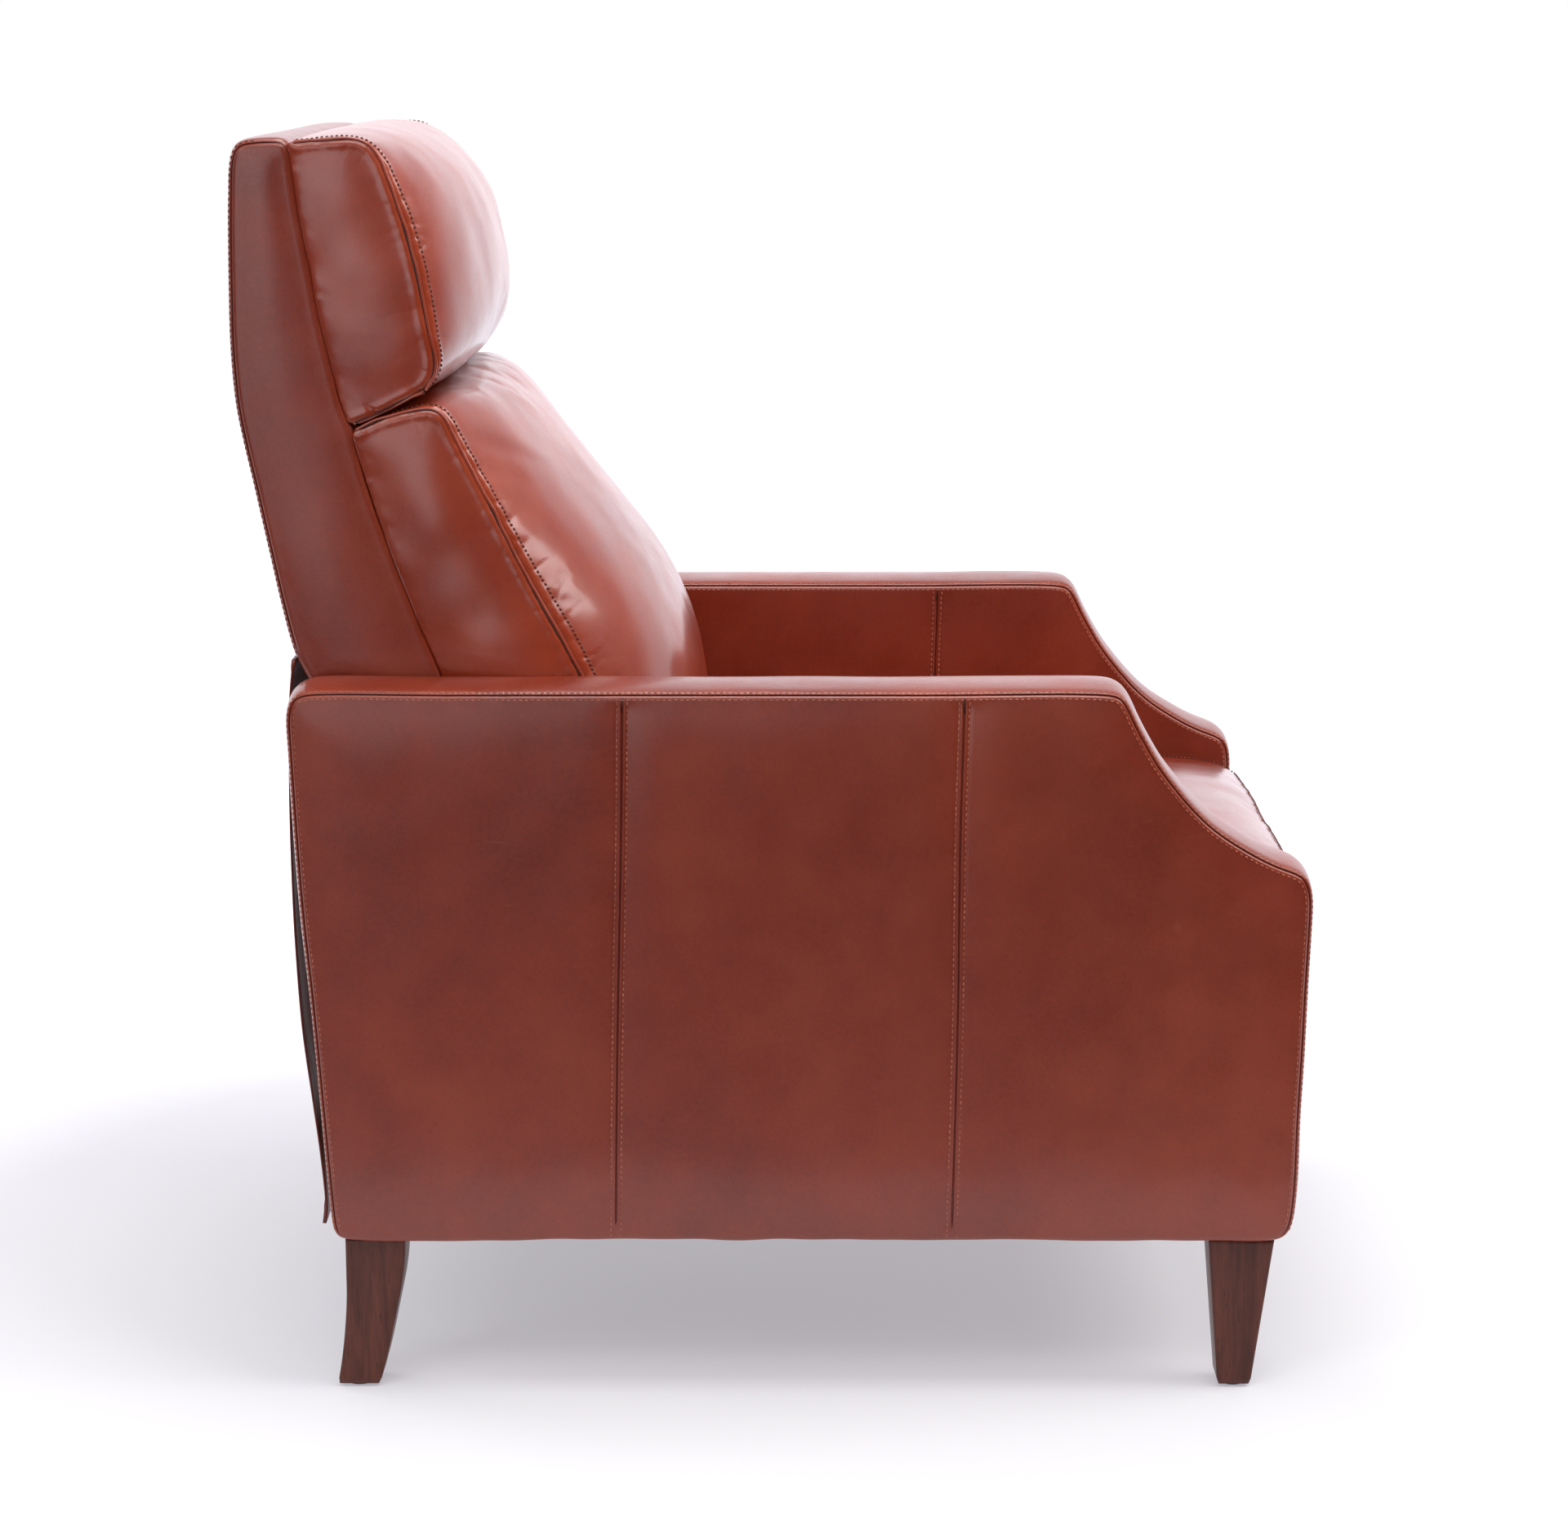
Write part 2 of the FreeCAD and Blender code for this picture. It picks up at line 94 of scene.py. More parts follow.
# -------------------------------------------------------------------- camera
cam_data = bpy.data.cameras.new("cam")
cam = bpy.data.objects.new("cam", cam_data)
bpy.context.scene.collection.objects.link(cam)
bpy.context.scene.camera = cam
cam_data.sensor_width = 36.0
cam_data.lens = 86.25
yaw, pitch = math.radians(-0.2261663760275603), math.radians(10.995469223691503)
look = Vector((math.cos(yaw) * math.cos(pitch), -math.sin(yaw) * math.cos(pitch), -math.sin(pitch)))
cam.location = (-3.46, 0.0032723178 - FC / 1000.0, 1.16622246)
cam.rotation_mode = "QUATERNION"
cam.rotation_quaternion = look.to_track_quat("-Z", "Y")
cam_data.clip_start, cam_data.clip_end = 0.05, 60


# ---------------------------------------------------------------- small tools
def col_lin(r, g, b):
    def c(v):
        v /= 255.0
        return v / 12.92 if v <= 0.04045 else ((v + 0.055) / 1.055) ** 2.4
    return (c(r), c(g), c(b), 1.0)


def new_obj(name, verts, faces, mat=None, smooth=True):
    me = bpy.data.meshes.new(name)
    me.from_pydata([tuple(v) for v in verts], [], [tuple(int(i) for i in f) for f in faces])
    me.validate()
    me.update()
    if smooth:
        me.polygons.foreach_set("use_smooth", [True] * len(me.polygons))
    ob = bpy.data.objects.new(name, me)
    bpy.context.scene.collection.objects.link(ob)
    if mat is not None:
        me.materials.append(mat)
    return ob


def fix_normals(ob):
    bm = bmesh.new()
    bm.from_mesh(ob.data)
    bmesh.ops.remove_doubles(bm, verts=bm.verts, dist=1e-6)
    bmesh.ops.recalc_face_normals(bm, faces=bm.faces)
    bm.to_mesh(ob.data)
    bm.free()
    ob.data.update()


def catmull(pts, closed, per=8):
    pts = [np.array(p, float) for p in pts]
    n = len(pts)
    out = []
    rng = range(n) if closed else range(n - 1)
    for i in rng:
        if closed:
            p0, p1, p2, p3 = pts[i - 1], pts[i], pts[(i + 1) % n], pts[(i + 2) % n]
        else:
            p1, p2 = pts[i], pts[i + 1]
            p0 = pts[i - 1] if i > 0 else 2 * p1 - p2
            p3 = pts[i + 2] if i + 2 < n else 2 * p2 - p1
        # centripetal form keeps short runs beside long ones from overshooting
        t0 = 0.0
        t1 = t0 + max(np.linalg.norm(p1 - p0), 1e-6) ** 0.5
        t2 = t1 + max(np.linalg.norm(p2 - p1), 1e-6) ** 0.5
        t3 = t2 + max(np.linalg.norm(p3 - p2), 1e-6) ** 0.5
        for k in range(per):
            t = t1 + (t2 - t1) * k / per
            a1 = (t1 - t) / (t1 - t0) * p0 + (t - t0) / (t1 - t0) * p1
            a2 = (t2 - t) / (t2 - t1) * p1 + (t - t1) / (t2 - t1) * p2
            a3 = (t3 - t) / (t3 - t2) * p2 + (t - t2) / (t3 - t2) * p3
            b1 = (t2 - t) / (t2 - t0) * a1 + (t - t0) / (t2 - t0) * a2
            b2 = (t3 - t) / (t3 - t1) * a2 + (t - t1) / (t3 - t1) * a3
            out.append((t2 - t) / (t2 - t1) * b1 + (t - t1) / (t2 - t1) * b2)
    if not closed:
        out.append(pts[-1])
    return np.array(out)


def resample(p, n=None, step=None, closed=False):
    p = np.asarray(p, float)
    if closed:
        p = np.vstack([p, p[:1]])
    d = np.r_[0, np.cumsum(np.linalg.norm(np.diff(p, axis=0), axis=1))]
    if n is None:
        n = max(int(round(d[-1] / step)), 3) + (0 if closed else 1)
    t = np.linspace(0, d[-1], n + 1)[:-1] if closed else np.linspace(0, d[-1], n)
    return np.stack([np.interp(t, d, p[:, k]) for k in range(p.shape[1])], 1)


def smooth_closed(p, it=3, lam=0.5):
    for _ in range(it):
        p = p + lam * (0.5 * (np.roll(p, 1, 0) + np.roll(p, -1, 0)) - p)
    return p


def normals_2d(p):
    t = np.roll(p, -1, 0) - np.roll(p, 1, 0)
    t /= np.linalg.norm(t, axis=1)[:, None] + 1e-12
    return np.stack([-t[:, 1], t[:, 0]], 1)      # outward for a clockwise loop in (f, z)


def bvh_of(ob):
    me = ob.data
    return BVHTree.FromPolygons([v.co.copy() for v in me.vertices], [tuple(p.vertices) for p in me.polygons])


def project(path, bvh, lift=0.0):
    """Path points moved to the nearest surface; returns points and surface normals."""
    pos, nor = [], []
    for q in path:
        c, n, i, d = bvh.find_nearest(Vector(q))
        pos.append(np.array(c) + np.array(n) * lift)
        nor.append(np.array(n))
    return np.array(pos), np.array(nor)


def tube_mesh(path, radius, sides=8, closed=False, squash_n=None, squash=1.0):
    """Vertices and faces of a tube along path; squash flattens it along the given normals."""
    path = np.asarray(path, float)
    n = len(path)
    if closed:
        t = np.roll(path, -1, 0) - np.roll(path, 1, 0)
    else:
        t = np.gradient(path, axis=0)
    t /= np.linalg.norm(t, axis=1)[:, None] + 1e-12
    verts, faces = [], []
    ref = squash_n if squash_n is not None else np.tile([1.0, 0, 0], (n, 1))
    r = radius if hasattr(radius, "__len__") else [radius] * n
    for i in range(n):
        b = np.cross(t[i], ref[i])
        if np.linalg.norm(b) < 1e-6:
            b = np.cross(t[i], [0, 0.3, 1.0])
        b /= np.linalg.norm(b)
        m = np.cross(b, t[i])
        for k in range(sides):
            a = 2 * math.pi * k / sides
            verts.append(path[i] + r[i] * (math.cos(a) * b + squash * math.sin(a) * m))
    last = n if closed else n - 1
    for i in range(last):
        j = (i + 1) % n
        for k in range(sides):
            k2 = (k + 1) % sides
            faces.append((i * sides + k, i * sides + k2, j * sides + k2, j * sides + k))
    if not closed:
        faces.append(tuple(range(sides))[::-1])
        faces.append(tuple((n - 1) * sides + k for k in range(sides)))
    return verts, faces


class Batch:
    """Collects many small shapes into one mesh."""

    def __init__(self):
        self.v, self.f = [], []

    def add(self, verts, faces):
        o = len(self.v)
        self.v.extend(verts)
        self.f.extend([tuple(i + o for i in f) for f in faces])

    def make(self, name, mat):
        ob = new_obj(name, self.v, self.f, mat)
        return ob


def stitch_row(batch, path, normals, pitch=0.0045, rad=0.00048, fill=0.7, sink=0.00005, jitter=0.00012):
    """Thread showing between needle holes along a path on a surface."""
    path = np.asarray(path, float)
    d = np.r_[0, np.cumsum(np.linalg.norm(np.diff(path, axis=0), axis=1))]
    n = int(d[-1] / pitch)
    if n < 2:
        return
    cyc = [(-0.5, 0.25), (-0.36, 0.85), (0.0, 1.0), (0.36, 0.85), (0.5, 0.25)]
    for i in range(n):
        s = (i + 0.5) * d[-1] / n
        c = np.array([np.interp(s, d, path[:, k]) for k in range(3)])
        a = np.array([np.interp(s - 0.001, d, path[:, k]) for k in range(3)])
        b = np.array([np.interp(s + 0.001, d, path[:, k]) for k in range(3)])
        nn = np.array([np.interp(s, d, normals[:, k]) for k in range(3)])
        nn /= np.linalg.norm(nn) + 1e-12
        t = b - a
        t /= np.linalg.norm(t) + 1e-12
        w = np.cross(nn, t)
        w /= np.linalg.norm(w) + 1e-12
        t = np.cross(w, nn)
        c = c + w * random.uniform(-jitter, jitter) + nn * (rad * 0.35 - sink)
        t = t + w * random.uniform(-0.06, 0.06)
        L = pitch * fill
        verts, faces = [], []
        for (u, q) in cyc:
            h = (1 - (2 * u) ** 2) * rad * 0.5 - rad * 0.35
            for k in range(5):
                ang = 2 * math.pi * k / 5
                verts.append(c + t * u * L + w * math.cos(ang) * rad * q + nn * (math.sin(ang) * rad * q * 0.8 + h))
        for j in range(4):
            for k in range(5):
                k2 = (k + 1) % 5
                faces.append((j * 5 + k, j * 5 + k2, (j + 1) * 5 + k2, (j + 1) * 5 + k))
        faces.append((4, 3, 2, 1, 0))
        faces.append((20, 21, 22, 23, 24))
        batch.add(verts, faces)


# ------------------------------------------------------------------ materials
class Nodes:
    def __init__(self, name):
        self.mat = bpy.data.materials.new(name)
        self.mat.use_nodes = True
        self.nt = self.mat.node_tree
        self.nt.nodes.clear()
        self.out = self.add("ShaderNodeOutputMaterial")
        self.bsdf = self.add("ShaderNodeBsdfPrincipled")
        self.link(self.bsdf.outputs[0], self.out.inputs[0])
        self.tc = self.add("ShaderNodeTexCoord")

    def add(self, kind, **kw):
        n = self.nt.nodes.new(kind)
        for k, v in kw.items():
            setattr(n, k, v)
        return n

    def link(self, a, b):
        self.nt.links.new(a, b)

    def mapping(self, scale=(1, 1, 1), rot=(0, 0, 0), loc=(0, 0, 0), src=None):
        m = self.add("ShaderNodeMapping")
        m.inputs["Scale"].default_value = scale
        m.inputs["Rotation"].default_value = rot
        m.inputs["Location"].default_value = loc
        self.link(src or self.tc.outputs["Object"], m.inputs["Vector"])
        return m.outputs[0]

    def noise(self, scale, detail=3, rough=0.5, vec=None, dist=0.0):
        n = self.add("ShaderNodeTexNoise")
        n.inputs["Scale"].default_value = scale
        n.inputs["Detail"].default_value = detail
        n.inputs["Roughness"].default_value = rough
        n.inputs["Distortion"].default_value = dist
        self.link(vec or self.tc.outputs["Object"], n.inputs["Vector"])
        return n.outputs["Fac"]

    def voronoi(self, scale, vec=None, feature="F1", rand=1.0):
        n = self.add("ShaderNodeTexVoronoi", feature=feature)
        n.inputs["Scale"].default_value = scale
        n.inputs["Randomness"].default_value = rand
        self.link(vec or self.tc.outputs["Object"], n.inputs["Vector"])
        return n.outputs["Distance"]

    def ramp(self, fac, stops, interp="LINEAR"):
        r = self.add("ShaderNodeValToRGB")
        r.color_ramp.interpolation = interp
        e = r.color_ramp.elements
        while len(e) < len(stops):
            e.new(0.5)
        for i, (p, c) in enumerate(stops):
            e[i].position = p
            e[i].color = c if len(c) == 4 else (*c, 1)
        self.link(fac, r.inputs[0])
        return r.outputs["Color"]

    def fmap(self, fac, a, b, c, d):
        m = self.add("ShaderNodeMapRange")
        for i, v in enumerate((a, b, c, d)):
            m.inputs[i + 1].default_value = v
        self.link(fac, m.inputs[0])
        return m.outputs[0]

    def math(self, op, a, b=None):
        m = self.add("ShaderNodeMath", operation=op)
        for i, v in enumerate((a, b)):
            if v is None:
                continue
            if isinstance(v, (int, float)):
                m.inputs[i].default_value = v
            else:
                self.link(v, m.inputs[i])
        return m.outputs[0]

    def mix(self, fac, a, b, mode="MIX"):
        m = self.add("ShaderNodeMix", data_type="RGBA", blend_type=mode)
        if isinstance(fac, (int, float)):
            m.inputs[0].default_value = fac
        else:
            self.link(fac, m.inputs[0])
        for s, v in ((6, a), (7, b)):
            if isinstance(v, tuple):
                m.inputs[s].default_value = v if len(v) == 4 else (*v, 1)
            else:
                self.link(v, m.inputs[s])
        return m.outputs[2]

    def bump(self, height, strength, dist, normal=None):
        b = self.add("ShaderNodeBump")
        b.inputs["Strength"].default_value = strength
        b.inputs["Distance"].default_value = dist
        self.link(height, b.inputs["Height"])
        if normal is not None:
            self.link(normal, b.inputs["Normal"])
        return b.outputs[0]


def leather(name, dark, mid, bright, seed=0.0, rough=(0.30, 0.46), coat=0.25, cloud=5.0, grain=1.0):
    m = Nodes(name)
    v = m.mapping(loc=(seed, seed * 0.7, -seed * 1.3))
    big = m.noise(cloud, 4, 0.55, v, 0.15)
    med = m.noise(cloud * 4.6, 4, 0.55, v)
    fine = m.noise(260, 3, 0.6, v)
    f = m.math("ADD", m.math("MULTIPLY", big, 0.68), m.math("MULTIPLY", med, 0.32))
    colr = m.ramp(f, [(0.34, dark), (0.50, mid), (0.68, bright)])
    # fine pore speckle and the pull-up sheen of handled hide
    colr = m.mix(m.fmap(fine, 0.35, 0.72, 0.0, 0.30), colr, bright)
    pores = m.noise(520, 3, 0.7, m.mapping((1, 1, 1), (0.7, 0.1, 0.4), (seed, 4, 2), None))
    colr = m.mix(m.fmap(pores, 0.52, 0.72, 0.0, 0.34), colr, tuple(0.55 * q for q in dark) + (1,))
    # light scuffs: long thin threads of noise in two directions
    s1 = m.noise(26, 2, 0.5, m.mapping((1.0, 1.0, 9.0), (0.5, 0.2, 0.3), (seed, 0, 3), None))
    s2 = m.noise(34, 2, 0.5, m.mapping((9.0, 1.3, 1.0), (0.1, 0.9, 0.5), (0, seed, 5), None))
    scr = m.math("ADD", m.fmap(s1, 0.715, 0.75, 0, 1), m.fmap(s2, 0.73, 0.76, 0, 1))
    scr = m.math("MULTIPLY", scr, m.fmap(m.noise(7, 2, 0.5, v), 0.5, 0.7, 0, 0.5))
    scuff = tuple(min(1.0, 0.35 * bright[i] + 0.65 * (0.42, 0.15, 0.10)[i]) for i in range(3)) + (1,)
    colr = m.mix(m.math("MULTIPLY", scr, 0.35), colr, scuff)
    # lighter leather on rolled edges, part wear and part painted highlight; painted shade darkening the seam grooves
    edge_wear_and_highlight = m.add("ShaderNodeAttribute", attribute_name="edge_wear_and_highlight")
    colr = m.mix(m.math("MULTIPLY", edge_wear_and_highlight.outputs["Fac"], m.fmap(med, 0.35, 0.65, 0.10, 0.40)), colr, (bright[0] * 1.25, bright[1] * 1.5, bright[2] * 1.7, 1))
    # the seam attribute paints shade: the colour goes near black in the seam grooves
    seam = m.add("ShaderNodeAttribute", attribute_name="seam")
    colr = m.mix(seam.outputs["Fac"], colr, (dark[0] * 0.12, dark[1] * 0.12, dark[2] * 0.14, 1))
    m.link(colr, m.bsdf.inputs["Base Color"])
    r = m.fmap(m.math("ADD", m.math("MULTIPLY", med, 0.7), m.math("MULTIPLY", m.noise(90, 3, 0.6, v), 0.3)), 0.35, 0.65, rough[0], rough[1])
    m.link(r, m.bsdf.inputs["Roughness"])
    m.bsdf.inputs["Coat Weight"].default_value = coat
    m.bsdf.inputs["Coat Roughness"].default_value = 0.16
    m.bsdf.inputs["Specular IOR Level"].default_value = 0.5
    m.bsdf.inputs["IOR"].default_value = 1.5
    # grain: small cells, a pore layer and soft creasing
    vw = m.mapping((1, 1, 1), (0.3, 0.2, 0.1), (seed, 2, 1))
    cells = m.voronoi(620, vw, "DISTANCE_TO_EDGE")
    g = m.math("ADD", m.math("MULTIPLY", m.fmap(cells, 0.0, 0.12, 0, 1), 0.6), m.math("MULTIPLY", m.noise(900, 2, 0.5, vw), 0.5))
    n0 = m.bump(m.noise(230, 3, 0.6, v), 0.13 * grain, 0.0006)
    n1 = m.bump(g, 0.26 * grain, 0.0004, n0)
    n2 = m.bump(m.noise(60, 3, 0.55, v), 0.12, 0.0010, n1)
    m.link(n2, m.bsdf.inputs["Normal"])
    return m.mat


D1, M1, B1 = (0.150, 0.0138, 0.0034), (0.206, 0.0208, 0.0048), (0.268, 0.0325, 0.0085)
mat_arm = leather("leather_arm", D1, M1, B1, 0.0, (0.30, 0.42), 0.40, 4.2)
mat_back = leather("leather_back", D1, M1, B1, 3.7, (0.30, 0.42), 0.50, 5.0)
mat_cush = leather("leather_cushion", (0.208, 0.0180, 0.0036), (0.266, 0.0268, 0.0052), (0.335, 0.0410, 0.0095), 8.1, (0.28, 0.38), 0.70, 6.5, 0.8)
mat_seat = leather("leather_seat", (0.180, 0.0158, 0.0042), (0.230, 0.0232, 0.0060), (0.290, 0.0350, 0.0100), 12.3, (0.28, 0.38), 0.85, 6.0, 0.9)
mat_skirt = leather("leather_skirt", (0.080, 0.0090, 0.0045), (0.130, 0.0155, 0.0065), (0.190, 0.0270, 0.0110), 5.2, (0.38, 0.52), 0.12, 6.0)


def thread_mat(name="thread", lo=(0.30, 0.075, 0.040), hi=(0.50, 0.160, 0.090)):
    m = Nodes(name)
    tw = m.noise(1500, 2, 0.5)
    c = m.ramp(m.noise(60, 2, 0.5), [(0.35, lo), (0.65, hi)])
    m.link(c, m.bsdf.inputs["Base Color"])
    m.bsdf.inputs["Roughness"].default_value = 0.55
    m.link(m.bump(tw, 0.4, 0.0002), m.bsdf.inputs["Normal"])
    return m.mat


# near-black material for tubes laid in the seam gaps: painted shade
def seam_shadow_mat():
    m = Nodes("seam_shadow")
    c = m.ramp(m.noise(120, 2, 0.5), [(0.3, (0.020, 0.0045, 0.0035)), (0.7, (0.042, 0.009, 0.006))])
    m.link(c, m.bsdf.inputs["Base Color"])
    m.bsdf.inputs["Roughness"].default_value = 0.8
    return m.mat


def wood(name, dark, light, rough=(0.32, 0.5), scale=1.0, coat=0.2, axis="z"):
    m = Nodes(name)
    sc = {"z": (22, 22, 1.6), "x": (1.6, 22, 22), "y": (22, 1.6, 22)}[axis]
    v = m.mapping(tuple(s * scale for s in sc))
    g = m.noise(3.2, 6, 0.62, v, 0.8)
    fine = m.noise(14, 4, 0.7, v)
    c = m.ramp(m.math("ADD", m.math("MULTIPLY", g, 0.7), m.math("MULTIPLY", fine, 0.3)), [(0.36, dark), (0.52, tuple((a + b) / 2 for a, b in zip(dark, light))), (0.66, light)])
    pores = m.fmap(m.noise(60, 2, 0.5, m.mapping(tuple(s * scale * 0.6 for s in sc))), 0.62, 0.7, 0, 0.6)
    c = m.mix(pores, c, tuple(d * 0.45 for d in dark) + (1,))
    m.link(c, m.bsdf.inputs["Base Color"])
    m.link(m.fmap(fine, 0.3, 0.7, rough[0], rough[1]), m.bsdf.inputs["Roughness"])
    m.bsdf.inputs["Coat Weight"].default_value = coat
    m.bsdf.inputs["Coat Roughness"].default_value = 0.25
    m.bsdf.inputs["Specular IOR Level"].default_value = 0.25
    m.link(m.bump(m.math("ADD", fine, pores), 0.12, 0.0006), m.bsdf.inputs["Normal"])
    return m.mat


def metal(name, a, b, metallic, rough, speck=180):
    m = Nodes(name)
    n = m.noise(speck, 4, 0.6)
    w = m.noise(9, 3, 0.6)
    c = m.ramp(m.math("ADD", m.math("MULTIPLY", n, 0.5), m.math("MULTIPLY", w, 0.5)), [(0.35, a), (0.65, b)])
    m.link(c, m.bsdf.inputs["Base Color"])
    m.bsdf.inputs["Metallic"].default_value = metallic
    m.link(m.fmap(n, 0.3, 0.7, rough[0], rough[1]), m.bsdf.inputs["Roughness"])
    m.link(m.bump(n, 0.10, 0.0004), m.bsdf.inputs["Normal"])
    return m.mat


mat_thread = thread_mat()
mat_thread_dark = thread_mat("thread_dark", (0.085, 0.017, 0.009), (0.150, 0.034, 0.018))
mat_seam_shadow = seam_shadow_mat()
mat_leg = wood("leg_wood_dark", (0.055, 0.0125, 0.0075), (0.150, 0.0390, 0.0240), (0.30, 0.46), 1.0, 0.10)
mat_frame = wood("frame_timber", (0.36, 0.235, 0.13), (0.62, 0.46, 0.29), (0.55, 0.75), 1.0, 0.0, "x")
mat_black = metal("black_steel", (0.012, 0.012, 0.013), (0.035, 0.034, 0.033), 0.0, (0.35, 0.55))
mat_zinc = metal("zinc_plate", (0.42, 0.42, 0.43), (0.62, 0.61, 0.58), 1.0, (0.28, 0.45))
mat_spring = metal("spring_wire", (0.30, 0.30, 0.31), (0.50, 0.50, 0.50), 1.0, (0.3, 0.5))


def plastic():
    m = Nodes("glide_plastic")
    c = m.ramp(m.noise(300, 3, 0.6), [(0.3, (0.012, 0.012, 0.012)), (0.7, (0.03, 0.03, 0.03))])
    m.link(c, m.bsdf.inputs["Base Color"])
    m.link(m.fmap(m.noise(500, 2, 0.5), 0.3, 0.7, 0.5, 0.7), m.bsdf.inputs["Roughness"])
    return m.mat


mat_glide = plastic()

SLOT_MAT = {"frame_wood": mat_frame, "leg_wood": mat_leg, "glide": mat_glide, "zinc": mat_zinc,
            "black_steel": mat_black, "spring": mat_spring, "leather": mat_arm, "cushion": mat_cush}
for sp in frame["record"]["subparts"]:
    ob = NODES[sp["node"]]
    mm = SLOT_MAT[sp["material_slot"]]
    if not ob.material_slots:
        ob.data.materials.append(mm)
    for s in ob.material_slots:
        s.material = mm


def set_attr(ob, name, values):
    a = ob.data.attributes.get(name) or ob.data.attributes.new(name, "FLOAT", "POINT")
    a.data.foreach_set("value", np.asarray(values, np.float32))


# ------------------------------------------------------------ padded slab shape
EDGE_ROWS = [  # inset from the outline, depth from the face plane, edge wear and painted highlight, painted seam shade
    (11.0, 0.08, 0.0, 0.0), (9.2, 0.16, 0.1, 0.0), (8.0, 0.38, 0.3, 0.0), (7.1, 0.80, 0.5, 0.0), (6.4, 1.45, 0.5, 0.0),
    (5.98, 2.3, 0.1, 0.1), (5.7, 3.2, 0.0, 0.9), (5.4, 3.1, 0.0, 0.7), (5.1, 2.45, 0.4, 0.0), (4.65, 2.2, 0.8, 0.0),
    (4.1, 2.45, 0.8, 0.0), (3.5, 3.2, 0.6, 0.0), (2.8, 4.6, 0.4, 0.0), (2.0, 7.0, 0.2, 0.0), (1.4, 10.0, 0.1, 0.0)]
PLAIN_ROWS = [(11.0, 0.08, 0, 0), (9.2, 0.12, 0, 0), (8.0, 0.2, 0, 0), (7.1, 0.3, 0, 0), (6.4, 0.42, 0, 0), (5.8, 0.55, 0, 0),
              (5.2, 0.72, 0.1, 0), (4.6, 0.95, 0.2, 0), (4.0, 1.25, 0.3, 0), (3.4, 1.6, 0.4, 0), (2.8, 2.1, 0.5, 0), (2.2, 2.7, 0.4, 0),
              (1.6, 3.6, 0.3, 0), (1.0, 5.6, 0.2, 0), (0.45, 10.0, 0.1, 0)]


